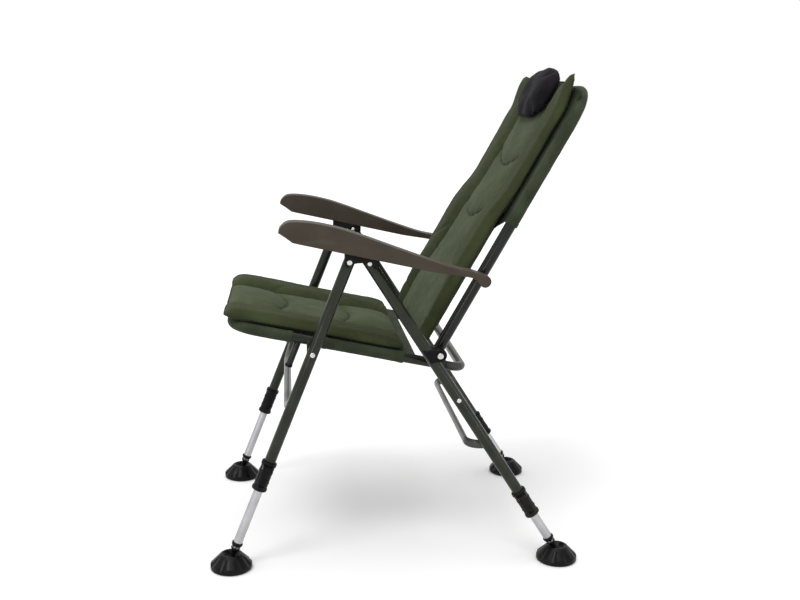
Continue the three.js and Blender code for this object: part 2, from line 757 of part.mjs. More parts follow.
const seat_bend = 55;
const rail_end_y = 104;
const spigot_length = 22;
const spigot_radius = 8.4;
const rear_bar_bend = 32;
const tab_sheet = 3;
const tab_inside_rail = 6.1;
const tab_inner_x = rail_x - tab_inside_rail;
const tab_radius = 11.5;
const tab_foot_half = 17;
const hook_half_width = 14;
const hook_rise = 4;
const hook_lip_drop = 10;
const hook_lip_front = 12;
const stub_radius = 7.5;
const stub_top_y = -219;
const stub_length = 68;
const stub_plug_radius = 8.4;
const stub_plug_length = 7;
const stub_inside_rail = 2;
const stub_x = rail_x - stub_inside_rail;
{
  const front = onRail(seat_front_y);
  const rail_end = onRail(rail_end_y);
  const tube = bentTube(
    [at(rail_x, rail_end), at(rail_x, front), at(-rail_x, front), at(-rail_x, rail_end)],
    seat_bend,
    rail_radius,
  );
  const tab_outline = (() => {
    const under = onRail(hinge_y);
    const fore = along(under, seat_back_way, -tab_foot_half);
    const aft = along(under, seat_back_way, tab_foot_half);
    return [fore, aft, ...arcPoints(hinge, tab_radius, -10, 200, 8)];
  })();
  const hook_outline = [
    side(front_stud.x + hook_half_width, onRail(front_stud.x + hook_half_width).y + hook_rise),
    side(front_stud.x - hook_lip_front, onRail(front_stud.x - hook_lip_front).y + hook_rise),
    side(front_stud.x - hook_lip_front, front_stud.y - hook_lip_drop),
    side(front_stud.x - stud_radius - gap, front_stud.y - hook_lip_drop),
    ...arcPoints(front_stud, stud_radius + gap, 180, 90, 4),
    side(front_stud.x + hook_half_width, front_stud.y + stud_radius + gap),
  ];
  const side_parts = (sign) => {
    const tab = plate(tab_outline, tab_inner_x, tab_inner_x + tab_sheet);
    const hole = pinAcross(hinge, tab_inner_x - overrun, rail_x, bolt_radius + pin_clearance, 12);
    const hook = plate(hook_outline, hook_plate_inner_x, hook_plate_inner_x + hook_plate_sheet);
    const weld = pinAcross(
      onRail(front_stud.x),
      rail_x,
      hook_plate_inner_x + hook_plate_sheet / 2,
      rail_radius / 2,
      10,
    );
    const stub_top = onRail(stub_top_y);
    const stub_end = along(stub_top, front_leg_up, -stub_length);
    const stub = rodBetween(at(stub_x, stub_top), at(stub_x, stub_end), stub_radius, 14);
    const plug_start = along(stub_end, front_leg_up, stub_plug_length);
    const plug = rodBetween(at(stub_x, plug_start), at(stub_x, stub_end), stub_plug_radius, 14);
    const parts = join(cut(tab, hole), hook, weld, stub, plug);
    return toSolid(mirrored(toGeometry(parts), sign));
  };
  const spigotBore = (sign, radius, from, to) =>
    rodBetween(
      at(sign * rail_x, along(rail_end, seat_back_way, from)),
      at(sign * rail_x, along(rail_end, seat_back_way, to)),
      radius,
      14,
    );
  const bore = (sign) => spigotBore(sign, spigot_radius + gap, -spigot_length - overrun, overrun);
  const frame = join(tube, side_parts(1), side_parts(-1));
  addPiece('seat_frame', toGeometry(cut(frame, bore(1), bore(-1))), green_paint);

  const bar_start = along(rail_end, seat_back_way, gap);
  const bar_corner = onRail(seat_rear_y);
  const bar = bentTube(
    [
      at(rail_x, bar_start),
      at(rail_x, bar_corner),
      at(-rail_x, bar_corner),
      at(-rail_x, bar_start),
    ],
    rear_bar_bend,
    rear_bar_radius,
  );
  const spigot = (sign) => spigotBore(sign, spigot_radius, -spigot_length, spigot_length / 4);
  addPiece('seat_rear_bar', toGeometry(join(bar, spigot(1), spigot(-1))), grey_tube);
}

// Seat sleeves: cloth tubes round the rails and the front bar

const front_sleeve_end_y = -235;
const rear_sleeve_start_y = -170;
const rear_sleeve_end_y = 9;
const seat_sleeve_bore = rail_radius + sleeve_gap;
const seat_sleeve_radius = seat_sleeve_bore + sleeve_wall;
{
  const front = onRail(seat_front_y);
  const run = (end_y, radius) => {
    const end = onRail(end_y);
    const corners = [at(rail_x, end), at(rail_x, front), at(-rail_x, front), at(-rail_x, end)];
    return bentTube(corners, seat_bend, radius);
  };
  const sleeve = cut(
    run(front_sleeve_end_y, seat_sleeve_radius),
    run(front_sleeve_end_y + overrun, seat_sleeve_bore),
  );
  addPiece('seat_sleeve_front', toGeometry(sleeve), sleeve_cloth);
  const rearRod = (x, reach, radius) =>
    rodBetween(at(x, onRail(rear_sleeve_start_y - reach)), at(x, onRail(rear_sleeve_end_y + reach)), radius);
  eachSide((word, sign) => {
    const x = sign * rail_x;
    const tube = cut(rearRod(x, 0, seat_sleeve_radius), rearRod(x, overrun, seat_sleeve_bore));
    addPiece(`seat_sleeve_rear_${word}`, toGeometry(tube), sleeve_cloth);
  });
}

// Seat sling: the cloth panel stretched between the sleeves

const sling_low = 8;
const sling_high = 12.5;
const sling_rear_y = 34;
{
  const half_width = rail_x - seat_sleeve_radius - gap;
  const length = (sling_rear_y - seat_front_y) / seat_back_way.x - seat_sleeve_radius - gap;
  const corner = seat_bend - seat_sleeve_radius;
  const outline = new THREE.Shape();
  outline.moveTo(-half_width, length);
  outline.lineTo(-half_width, corner);
  outline.absarc(-half_width + corner, corner, corner, Math.PI, Math.PI * 1.5);
  outline.lineTo(half_width - corner, 0);
  outline.absarc(half_width - corner, corner, corner, -Math.PI / 2, 0);
  outline.lineTo(half_width, length);
  const sheet = new THREE.ExtrudeGeometry(outline, {
    depth: sling_high - sling_low,
    bevelEnabled: false,
    curveSegments: 6,
  });
  const start = along(onSeat(seat_front_y, sling_low), seat_back_way, seat_sleeve_radius + gap);
  sheet.rotateX(-toRadians(seat_slope_degrees));
  sheet.translate(0, start.x, start.y);
  addPiece('seat_sling', toGeometry(toSolid(sheet)), dark_cloth);
}

// Padded forms: crowned, with drawn-in sides, raised borders and a sewn centre panel

const paddedForm = (form) => {
  const { columns, rows, half_width, length, draw_in, corner_share, edge_round } = form;
  const outline = (a, b) => {
    const ends = 2 * b - 1;
    const corner = 1 - corner_share * Math.abs(a * ends) ** 6;
    const x = a * (half_width - draw_in * (1 - ends * ends)) * corner;
    const y = length / 2 + (ends * length * corner) / 2;
    return [x, y];
  };
  const vertices = [];
  const layer = (is_top) => {
    for (let j = 0; j <= rows; j += 1) {
      for (let i = 0; i <= columns; i += 1) {
        const a = Math.sin((Math.PI / 2) * ((2 * i) / columns - 1));
        const b = (1 - Math.cos((Math.PI * j) / rows)) / 2;
        const [x, y] = outline(a, b);
        const to_edge = Math.min((1 - Math.abs(a)) * half_width, b * length, (1 - b) * length);
        const inward = 1 - Math.min(to_edge / edge_round, 1);
        const roundness = Math.sqrt(Math.max(1 - inward * inward, 0));
        const rim = form.rim(y);
        const surface = is_top ? form.face(x, y) : form.base(y);
        const spot = form.place(y, rim + (surface - rim) * roundness);
        vertices.push(x, spot.x, spot.y);
      }
    }
  };
  layer(true);
  layer(false);
  const row_size = columns + 1;
  const layer_size = row_size * (rows + 1);
  const index = [];
  for (let j = 0; j < rows; j += 1) {
    for (let i = 0; i < columns; i += 1) {
      const corner = j * row_size + i;
      const quad = [corner, corner + 1, corner + row_size + 1, corner + row_size];
      index.push(quad[0], quad[1], quad[2], quad[0], quad[2], quad[3]);
      const low = quad.map((vertex) => vertex + layer_size);
      index.push(low[0], low[2], low[1], low[0], low[3], low[2]);
    }
  }
  const geometry = new THREE.BufferGeometry();
  geometry.setAttribute('position', new THREE.BufferAttribute(new Float32Array(vertices), 3));
  geometry.setIndex(index);
  return toSolid(geometry);
};

// Height of the sewn face: a border that drops to a seam, and crowned sections between scalloped seams
const sewnFace = (x, y, sewing) => {
  const { panel_half_width, slope_width, border, seam, crown, seams, scallop } = sewing;
  const half = panel_half_width(y);
  const from_seam = Math.abs(x) - half;
  if (from_seam > 0) {
    return mix(seam(y), border(y), smooth(from_seam, 0, slope_width));
  }
  const across = x / half;
  const shifted = y + scallop * across * across;
  const next = seams.findIndex((place) => place > shifted);
  const low = seams[Math.max(next - 1, 0)];
  const high = next < 0 ? seams[seams.length - 1] : seams[next];
  const share = high > low ? Math.min(Math.max((shifted - low) / (high - low), 0), 1) : 0;
  const swell = Math.sqrt(Math.max(1 - across * across, 0) * Math.sin(Math.PI * share));
  return seam(y) + crown(y) * swell;
};

// Seat cushion

const pad_over_front = 28.75;
const seat_pad_front_y = seat_front_y - pad_over_front;
const seat_pad_rear_y = 14;
const pad_draw_in = 5;
const pad_corner_share = 0.03;
const pad_edge_round = 26;
const seat_pad_base = sling_high + gap;
const seat_pad_rim = 21;
const seat_pad_border = 33;
const seat_pad_seam = 17;
const seat_pad_crown = 12;
const seat_seam_ys = [-249, -101];
const seat_scallop = 38;
const panel_half_width = 112;
const border_slope_width = 52;
{
  const length = (seat_pad_rear_y - seat_pad_front_y) / seat_back_way.x;
  const fromFront = (y) => (y - seat_pad_front_y) / seat_back_way.x;
  const sewing = {
    panel_half_width: () => panel_half_width,
    slope_width: border_slope_width,
    border: () => seat_pad_border,
    seam: () => seat_pad_seam,
    crown: () => seat_pad_crown,
    seams: [0, ...seat_seam_ys.map(fromFront), length + seat_scallop],
    scallop: seat_scallop,
  };
  const pad = paddedForm({
    columns: 18,
    rows: 22,
    half_width: pad_half_width,
    length,
    draw_in: pad_draw_in,
    corner_share: pad_corner_share,
    edge_round: pad_edge_round,
    rim: () => seat_pad_rim,
    base: () => seat_pad_base,
    face: (x, y) => sewnFace(x, y, sewing),
    place: (y, height) => along(onSeat(seat_pad_front_y, height), seat_back_way, y),
  });
  addPiece('seat_pad', toGeometry(pad), cushion_cloth);
}

// Back: washers, bent tube, sleeve and panel

const washer_radius = 9;
const back_tube_low = -12;
const back_bend = 70;
const back_sleeve_start = 318;
const back_sleeve_bore = back_tube_radius + sleeve_gap;
const back_sleeve_radius = back_sleeve_bore + sleeve_wall;
const back_panel_sheet = 3;
const back_panel_low = 45;
const back_panel_lower_n = 21;
const back_panel_bend_low = 290;
const back_panel_bend_high = 330;
const panel_inside_tube = 26;
const back_panel_half_width = back_tube_x - panel_inside_tube;
const bolt_flange_reach = 4;
const bolt_flange_radius = 6.5;
const bolt_head_shares = [0.72, 0.55];
const back_panel_top_margin = 4;
const armrest_pin_s = 188;
const armrest_pin_radius = 5;
const armrest_pin = onBack(armrest_pin_s, 0);
const back_tube_outer_x = back_tube_x + back_tube_radius;
const back_tube_inner_x = back_tube_x - back_tube_radius;
const back_panel_upper_n = back_sleeve_radius + gap;
eachSide((word, sign) => {
  const hole = bolt_radius + pin_clearance;
  const profile = [
    [hole, back_tube_outer_x + gap],
    [washer_radius, back_tube_outer_x + gap],
    [washer_radius, saddle_inner_x - gap],
    [hole, saddle_inner_x - gap],
    [hole, back_tube_outer_x + gap],
  ];
  const washer = turned(profile, at(0, hinge), new THREE.Vector3(1, 0, 0), 16);
  addPiece(`back_washer_${word}`, mirrored(toGeometry(washer), sign), bright_steel);

  const flange_x = tab_inner_x - gap;
  const shank_end = saddle_boss_x + gap + overrun;
  const shank = pinAcross(hinge, flange_x - bolt_flange_reach, shank_end, bolt_radius, 12);
  const flange = pinAcross(hinge, flange_x - bolt_flange_reach, flange_x, bolt_flange_radius, 12);
  const head = turned(
    [
      [0, saddle_boss_x + gap],
      [bolt_head_radius, saddle_boss_x + gap],
      [bolt_head_radius, saddle_boss_x + bolt_head_height * bolt_head_shares[1]],
      [bolt_head_radius * bolt_head_shares[0], saddle_boss_x + bolt_head_height],
      [0, saddle_boss_x + bolt_head_height],
    ],
    at(0, hinge),
    new THREE.Vector3(1, 0, 0),
    16,
  );
  const bolt = join(shank, flange, head);
  addPiece(`hinge_bolt_${word}`, mirrored(toGeometry(bolt), sign), bright_steel);
});
{
  const backRun = (low, radius) =>
    bentTube(
      [
        at(back_tube_x, onBack(low, 0)),
        at(back_tube_x, onBack(back_height, 0)),
        at(-back_tube_x, onBack(back_height, 0)),
        at(-back_tube_x, onBack(low, 0)),
      ],
      back_bend,
      radius,
      12,
    );
  const drill_x = back_tube_outer_x + overrun;
  const frame = cut(
    backRun(back_tube_low, back_tube_radius),
    pinAcross(hinge, -drill_x, drill_x, bolt_radius + pin_clearance, 12),
    pinAcross(armrest_pin, -drill_x, drill_x, armrest_pin_radius + pin_clearance, 12),
  );
  addPiece('back_frame', toGeometry(frame), green_paint);
  const sleeve = cut(
    backRun(back_sleeve_start, back_sleeve_radius),
    backRun(back_sleeve_start - overrun, back_sleeve_bore),
  );
  addPiece('back_sleeve', toGeometry(sleeve), sleeve_cloth);

  const behind = [
    onBack(back_panel_low, back_panel_lower_n),
    onBack(back_panel_bend_low, back_panel_lower_n),
    onBack(back_panel_bend_high, back_panel_upper_n),
    onBack(back_height - back_panel_top_margin, back_panel_upper_n),
  ];
  const before = behind.map((point) => along(point, back_normal, back_panel_sheet)).reverse();
  const panel = plate([...behind, ...before], -back_panel_half_width, back_panel_half_width);
  addPiece('back_panel', toGeometry(panel), dark_cloth);
}

// Back cushion and headrest pillow

const back_pad_low = -14;
const pad_over_top = 22;
const back_pad_high = back_height + pad_over_top;
const back_pad_swell_high_s = 400;
const back_pad_lower_border = 49;
const back_pad_upper_border = 35;
const back_pad_lower_rim = 34;
const back_pad_upper_rim = 26;
const back_pad_lower_seam = 34;
const back_pad_upper_seam = 24;
const back_pad_lower_crown = 12;
const back_pad_upper_crown = 9;
const back_seam_places = [290, 433];
const back_scallop = -40;
const back_panel_wide_half = 178;
const back_panel_wide_end = 60;
const back_panel_narrow_start = 250;
const pillow_length = 137;
const pillow_over_pad = 18;
const pillow_low = back_pad_high + pillow_over_pad - pillow_length;
const pillow_half_width = 146;
const pillow_rim = 44;
const pillow_settle = 0.7;
const pillow_face = 76;
const pillow_edge_round = 40;
{
  const length = back_pad_high - back_pad_low;
  const swellShare = (y) => smooth(y + back_pad_low, back_panel_bend_low, back_pad_swell_high_s);
  const panelShare = (y) => smooth(y + back_pad_low, back_panel_bend_low, back_panel_bend_high);
  const lower_base = back_panel_lower_n + back_panel_sheet + gap;
  const upper_base = back_panel_upper_n + back_panel_sheet + gap;
  const sewing = {
    panel_half_width: (y) =>
      mix(
        back_panel_wide_half,
        panel_half_width,
        smooth(y + back_pad_low, back_panel_wide_end, back_panel_narrow_start),
      ),
    slope_width: border_slope_width,
    border: (y) => mix(back_pad_lower_border, back_pad_upper_border, swellShare(y)),
    seam: (y) => mix(back_pad_lower_seam, back_pad_upper_seam, swellShare(y)),
    crown: (y) => mix(back_pad_lower_crown, back_pad_upper_crown, swellShare(y)),
    seams: [back_scallop, ...back_seam_places.map((place) => place - back_pad_low), length],
    scallop: back_scallop,
  };
  const bendBase = (y) => mix(lower_base, upper_base, panelShare(y));
  const pad = paddedForm({
    columns: 16,
    rows: 26,
    half_width: pad_half_width,
    length,
    draw_in: pad_draw_in,
    corner_share: pad_corner_share,
    edge_round: pad_edge_round,
    rim: (y) => mix(back_pad_lower_rim, back_pad_upper_rim, swellShare(y)),
    base: (y) => Math.max(bendBase(y), bendBase(y - pad_edge_round)),
    face: (x, y) => sewnFace(x, y, sewing),
    place: (y, height) => onBack(y + back_pad_low, height),
  });
  const pillow_base = back_pad_upper_seam + back_pad_upper_crown + gap - pillow_settle;
  const pillow = paddedForm({
    columns: 12,
    rows: 8,
    half_width: pillow_half_width,
    length: pillow_length,
    draw_in: pad_draw_in,
    corner_share: pad_corner_share * 2,
    edge_round: pillow_edge_round,
    rim: () => pillow_rim,
    base: () => pillow_base,
    face: () => pillow_face,
    place: (y, height) => onBack(y + pillow_low, height),
  });
  addPiece('back_pad', toGeometry(pad), cushion_cloth);
  addPiece('headrest_pillow', toGeometry(pillow), headrest_cloth);
}

// Armrests: moulded arms that slide on the brackets and turn on a pin bush in the back tube

const armrest_inside_leg = 15;
const armrest_width = 44;
const armrest_inner_x = leg_x - armrest_inside_leg;
const armrest_outer_x = armrest_inner_x + armrest_width;
const armrest_front_y = -264.75;
const armrest_depth = 50;
const armrest_hook_radius = 13;
const armrest_bevel = 5;
const armrest_pin_reach = 34;
const bush_flange_radius = 8;
const bush_head_height = 4;
const armrest_top_shares = [
  [0, 0.3],
  [0.012, 0.55],
  [0.0525, 0.84],
  [0.15, 0.99],
  [0.267, 1.01],
  [0.369, 0.93],
  [0.579, 0.66],
  [0.722, 0.48],
  [0.85, 0.355],
  [0.94, 0.36],
];
const armrest_front_corner_share = 0.075;
const armrest_under_shares = [
  [0.945, 0.085],
  [0.86, 0.06],
  [0.74, 0],
];
{
  const length = armrest_pin.x - armrest_front_y;
  const topPoint = ([length_share, depth_share]) => {
    const y = armrest_front_y + length_share * length;
    return side(y, armrestUnder(y) + depth_share * armrest_depth);
  };
  const underPoint = (length_share) => topPoint([length_share, 0]);
  const outline = new THREE.Shape();
  const tip = topPoint(armrest_top_shares[0]);
  outline.moveTo(tip.x, tip.y);
  outline.splineThru(armrest_top_shares.slice(1).map(topPoint));
  const hook = arcPoints(armrest_pin, armrest_hook_radius, 55, -125, 8);
  const rear_under = armrest_under_shares.map(topPoint);
  [...hook, ...rear_under].forEach((point) => outline.lineTo(point.x, point.y));
  const under_front = underPoint(armrest_front_corner_share);
  outline.lineTo(under_front.x, under_front.y);
  const arm = plate(new THREE.Shape(outline.getPoints(2)), armrest_inner_x, armrest_outer_x, armrest_bevel);
  const pin_end = armrest_inner_x + armrest_pin_reach;
  const hole = pinAcross(
    armrest_pin,
    armrest_inner_x - overrun,
    pin_end + gap,
    armrest_pin_radius + pin_clearance,
    12,
  );
  const armrest = cut(arm, hole);
  const bush_start = back_tube_inner_x - gap - bush_head_height;
  const bush = join(
    pinAcross(armrest_pin, bush_start, pin_end, armrest_pin_radius, 12),
    pinAcross(armrest_pin, bush_start, back_tube_inner_x - gap, bush_flange_radius, 12),
    pinAcross(armrest_pin, back_tube_outer_x + gap, armrest_inner_x - gap, bush_flange_radius, 12),
  );
  eachSide((word, sign) => {
    addPiece(`armrest_bush_${word}`, mirrored(toGeometry(bush), sign), black_plastic);
    addPiece(`armrest_${word}`, mirrored(toGeometry(armrest), sign), armrest_plastic);
  });
}

export default chair;
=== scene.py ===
import math

import bpy
from mathutils import Matrix, Vector, noise


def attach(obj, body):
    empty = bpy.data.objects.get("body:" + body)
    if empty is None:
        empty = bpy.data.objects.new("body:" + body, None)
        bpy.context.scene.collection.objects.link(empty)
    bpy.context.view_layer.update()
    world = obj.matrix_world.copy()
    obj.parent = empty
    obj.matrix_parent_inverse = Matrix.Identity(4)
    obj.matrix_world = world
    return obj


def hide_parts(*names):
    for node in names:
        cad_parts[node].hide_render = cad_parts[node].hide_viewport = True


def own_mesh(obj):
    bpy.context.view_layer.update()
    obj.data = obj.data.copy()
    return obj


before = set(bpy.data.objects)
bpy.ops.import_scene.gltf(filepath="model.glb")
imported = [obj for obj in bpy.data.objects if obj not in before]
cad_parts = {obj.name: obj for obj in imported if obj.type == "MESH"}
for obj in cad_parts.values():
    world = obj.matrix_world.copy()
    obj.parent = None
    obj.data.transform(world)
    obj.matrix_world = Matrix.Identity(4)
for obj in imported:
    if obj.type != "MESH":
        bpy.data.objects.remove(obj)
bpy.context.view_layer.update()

scene = bpy.context.scene
scene.view_settings.view_transform = "Standard"

# The camera stands beside the chair, a little in front of it and about a metre up.
# It has a 46 mm lens on a 36 mm sensor, for a picture of 800 by 600.
picture_width = 800
focal_pixels = 1028.7
sensor_width = 36
camera_place = Vector((2.425, -0.24575, 1.036))
yaw, pitch, roll = [math.radians(angle) for angle in (6.39, 11.29, 1.30)]
forward = Vector((-math.cos(pitch) * math.cos(yaw), math.cos(pitch) * math.sin(yaw), -math.sin(pitch)))
level_right = forward.cross(Vector((0, 0, 1))).normalized()
level_up = level_right.cross(forward)
camera_right = level_right * math.cos(roll) + level_up * math.sin(roll)
camera_up = level_up * math.cos(roll) - level_right * math.sin(roll)


def placed(x_way, y_way, z_way, place):
    """The matrix that turns a thing's own directions to these and moves it to its place."""
    return Matrix((*zip(x_way, y_way, z_way, place), (0, 0, 0, 1)))


bpy.ops.object.camera_add(location=camera_place)
camera = bpy.context.object
camera.name = "camera"
camera.matrix_world = placed(camera_right, camera_up, -forward, camera_place)
camera.data.sensor_fit = "HORIZONTAL"
camera.data.sensor_width = sensor_width
camera.data.lens = focal_pixels * sensor_width / picture_width
camera.data.clip_start = 0.05
scene.camera = camera

# Studio: a white floor that runs to a white surround, a soft lamp above and in front, a wide
# one overhead and two faint low ones. The camera sees the floor plain white, with the shadow.


def feed(tree, socket, value):
    """A socket is linked to another one, or set to a value."""
    if isinstance(value, bpy.types.NodeSocket):
        tree.links.new(value, socket)
    else:
        socket.default_value = value


def add_node(tree, kind, settings, inputs):
    node = tree.nodes.new(kind)
    for key, setting in settings.items():
        setattr(node, key, setting)
    for key, value in inputs.items():
        feed(tree, node.inputs[key], value)
    return node.outputs


def surround(tree, output, lit, seen):
    """One shader lights the chair; the camera, a gloss and a glass see the other."""
    rays = add_node(tree, "ShaderNodeLightPath", {}, {})
    most = {"operation": "MAXIMUM"}
    either = add_node(tree, "ShaderNodeMath", most, {0: rays["Is Camera Ray"], 1: rays["Is Glossy Ray"]})
    is_seen = add_node(tree, "ShaderNodeMath", most, {0: either[0], 1: rays["Is Transmission Ray"]})
    mixed = add_node(tree, "ShaderNodeMixShader", {}, {0: is_seen[0], 1: lit[0], 2: seen[0]})
    add_node(tree, output, {}, {"Surface": mixed[0]})


white = (1, 1, 1, 1)
floor_size = 60
floor_grey = (0.62, 0.62, 0.62, 1)
floor_glow_strength = 0.1
world_strength = 0.62
bpy.ops.mesh.primitive_plane_add(size=floor_size, location=(0, 0, 0))
floor = bpy.context.object
floor.name = "studio_floor"
floor_material = bpy.data.materials.new("studio_floor")
floor_material.use_nodes = True
floor_tree = floor_material.node_tree
floor_tree.nodes.clear()
floor_lit = add_node(floor_tree, "ShaderNodeBsdfDiffuse", {}, {"Color": floor_grey})
floor_white = add_node(floor_tree, "ShaderNodeBsdfDiffuse", {}, {"Color": white})
floor_glow = add_node(floor_tree, "ShaderNodeEmission", {}, {"Strength": floor_glow_strength})
floor_seen = add_node(floor_tree, "ShaderNodeAddShader", {}, {0: floor_white[0], 1: floor_glow[0]})
surround(floor_tree, "ShaderNodeOutputMaterial", floor_lit, floor_seen)
floor.data.materials.append(floor_material)

world = bpy.data.worlds.new("studio")
scene.world = world
world.use_nodes = True
world.node_tree.nodes.clear()
world_lit, world_seen = [
    add_node(world.node_tree, "ShaderNodeBackground", {}, {"Color": white, "Strength": strength})
    for strength in (world_strength, 1.0)
]
surround(world.node_tree, "ShaderNodeOutputWorld", world_lit, world_seen)


def add_sun(name, way, strength, softness):
    bpy.ops.object.light_add(type="SUN", location=(0, 0, 3))
    sun = bpy.context.object
    sun.name = name
    sun.rotation_euler = Vector(way).to_track_quat("-Z", "Y").to_euler()
    sun.data.energy = strength
    sun.data.angle = math.radians(softness)


add_sun("key_light", (-0.5, 0.35, -1.0), 0.75, 20)
add_sun("top_light", (-0.04, 0.1, -1.0), 0.9, 60)
add_sun("front_glint", (-0.775, 0.625, -0.075), 0.16, 9)
add_sun("rear_glint", (-0.656, -0.737, -0.155), 0.14, 9)
# Outer legs: 25 mm steel tube in dark olive satin paint, with a faint orange peel, dust that
# dulls it in patches and small rubs. Their tops end under the armrest brackets.


class Shade:
    """A value that varies over a surface, so that shader maths reads as Python."""

    def __init__(self, finish, socket):
        self.finish = finish
        self.socket = socket

    def maths(self, operation, first, second):
        return self.finish.add("ShaderNodeMath", {"operation": operation}, {0: first, 1: second})

    def __add__(self, other):
        return self.maths("ADD", self, other)

    def __radd__(self, other):
        return self.maths("ADD", other, self)

    def __sub__(self, other):
        return self.maths("SUBTRACT", self, other)

    def __rsub__(self, other):
        return self.maths("SUBTRACT", other, self)

    def __mul__(self, other):
        return self.maths("MULTIPLY", self, other)

    def __rmul__(self, other):
        return self.maths("MULTIPLY", other, self)

    def smooth(self, low, high):
        sockets = {"Value": self, "From Min": low, "From Max": high}
        return self.finish.add("ShaderNodeMapRange", {"interpolation_type": "SMOOTHSTEP"}, sockets)


class Finish:
    """A material of one of the chair's surfaces, and one way to add any node to it."""

    def __init__(self, name, slot, specular=0.5, metallic=0.0, sheen=0.0, coat=0.0):
        self.material = bpy.data.materials.new(name)
        self.material.use_nodes = True
        self.tree = self.material.node_tree
        self.shader = self.tree.nodes["Principled BSDF"]
        self.slot = slot
        self.put("Specular IOR Level", specular)
        self.put("Metallic", metallic)
        self.put("Sheen Weight", sheen)
        self.put("Sheen Roughness", 0.45)
        self.put("Coat Weight", coat)
        self.put("Coat Roughness", 0.2)
        self.place = self.add("ShaderNodeTexCoord", {}, {}, "Object")

    def add(self, kind, settings, sockets, output=0):
        inputs = {key: getattr(value, "socket", value) for key, value in sockets.items()}
        return Shade(self, add_node(self.tree, kind, settings, inputs)[output])

    def put(self, name, value):
        feed(self.tree, self.shader.inputs[name], getattr(value, "socket", value))

    def noise(self, scale, detail=3.0, roughness=0.5, where=None):
        place = where or self.place
        sockets = {"Vector": place, "Scale": scale, "Detail": detail, "Roughness": roughness}
        return self.add("ShaderNodeTexNoise", {}, sockets, "Fac")

    def stretched(self, scale):
        return self.add("ShaderNodeMapping", {}, {"Vector": self.place, "Scale": scale})

    def blend(self, share, first, second):
        return self.add("ShaderNodeMix", {"data_type": "RGBA"}, {0: share, 6: first, 7: second}, 2)

    def cloud(self, dark, light, pattern, low=0.3):
        """A colour that drifts between two screen colours with the pattern."""
        return self.blend(pattern.smooth(low, 0.7), on_screen(*dark), on_screen(*light))

    def attribute(self, name):
        return self.add("ShaderNodeAttribute", {"attribute_name": name}, {}, "Fac")

    def size_of(self, value):
        return self.add("ShaderNodeMath", {"operation": "ABSOLUTE"}, {0: value})

    def wave(self, value, length):
        """A wave from 0 to 1 along a value in metres."""
        turns = value * (2 * math.pi / length)
        return self.add("ShaderNodeMath", {"operation": "SINE"}, {0: turns}) * 0.5 + 0.5

    def weave(self, spacing):
        """Threads over and under each other, from the object's own coordinates."""
        across, deep, up = [
            self.add("ShaderNodeSeparateXYZ", {}, {0: self.place}, axis) for axis in "XYZ"
        ]
        return self.wave(across, spacing) * self.wave(deep + up, spacing)

    def relief(self, height, distance, strength=1.0):
        sockets = {"Height": height, "Distance": distance, "Strength": strength}
        self.put("Normal", self.add("ShaderNodeBump", {}, sockets))


def on_screen(red, green, blue):
    """A colour as a screen shows it, 0 to 255, as the linear colour that a shader takes."""
    shares = [channel / 255 for channel in (red, green, blue)]
    linear = [((share + 0.055) / 1.055) ** 2.4 if share > 0.04 else share / 12.92 for share in shares]
    return (*linear, 1)


def painted_steel(name, slot, dark, light, rubbed_tint, metallic, gloss):
    paint = Finish(name, slot, 0.25, metallic=metallic, coat=0.08)
    cloudy = paint.noise(22, 4)
    rubbed = paint.noise(210, 3).smooth(0.66, 0.8)
    dust = paint.noise(8, 5).smooth(0.45, 0.8)
    tint = paint.cloud(dark, light, cloudy)
    paint.put("Base Color", paint.blend(rubbed * 0.3, tint, on_screen(*rubbed_tint)))
    paint.put("Roughness", gloss + dust * 0.16 + rubbed * 0.12)
    paint.relief(paint.noise(1100, 2) * 0.6 + cloudy * 0.4, 0.0004, 0.2)
    return paint


def work_on(piece):
    bpy.ops.object.select_all(action="DESELECT")
    piece.select_set(True)
    bpy.context.view_layer.objects.active = piece


def edit_whole(piece):
    """All of the piece's mesh is selected, to be modelled on."""
    work_on(piece)
    bpy.ops.object.mode_set(mode="EDIT")
    bpy.ops.mesh.select_all(action="SELECT")


def end_edit():
    bpy.ops.object.mode_set(mode="OBJECT")


def settle(piece):
    """The piece's place goes into its mesh, and its object stays at the origin."""
    work_on(piece)
    bpy.ops.object.transform_apply(location=True, rotation=True, scale=True)


def newly(name):
    """The object that was added last, under its name."""
    piece = bpy.context.object
    piece.name = piece.data.name = name
    return piece


def add_disc(name, place, facing, radius, sides=32):
    turn = Vector(facing).to_track_quat("Z", "Y").to_euler()
    bpy.ops.object.select_all(action="DESELECT")
    bpy.ops.mesh.primitive_circle_add(
        vertices=sides, radius=radius, fill_type="NGON", location=place, rotation=turn
    )
    piece = newly(name)
    settle(piece)
    return piece


def apply_modifier(piece, kind, **settings):
    work_on(piece)
    modifier = piece.modifiers.new(kind.lower(), kind)
    for key, setting in settings.items():
        setattr(modifier, key, setting)
    bpy.ops.object.modifier_apply(modifier=modifier.name)


def smooth_shade(piece, angle=35):
    work_on(piece)
    bpy.ops.object.shade_smooth_by_angle(angle=math.radians(angle))


def round_rims(piece, width, segments=3, angle=50):
    settings = {"limit_method": "ANGLE", "angle_limit": math.radians(angle), "harden_normals": False}
    apply_modifier(piece, "BEVEL", width=width, segments=segments, **settings)


def face_outwards(piece):
    edit_whole(piece)
    bpy.ops.mesh.remove_doubles(threshold=0.00001)
    bpy.ops.mesh.normals_make_consistent(inside=False)
    end_edit()


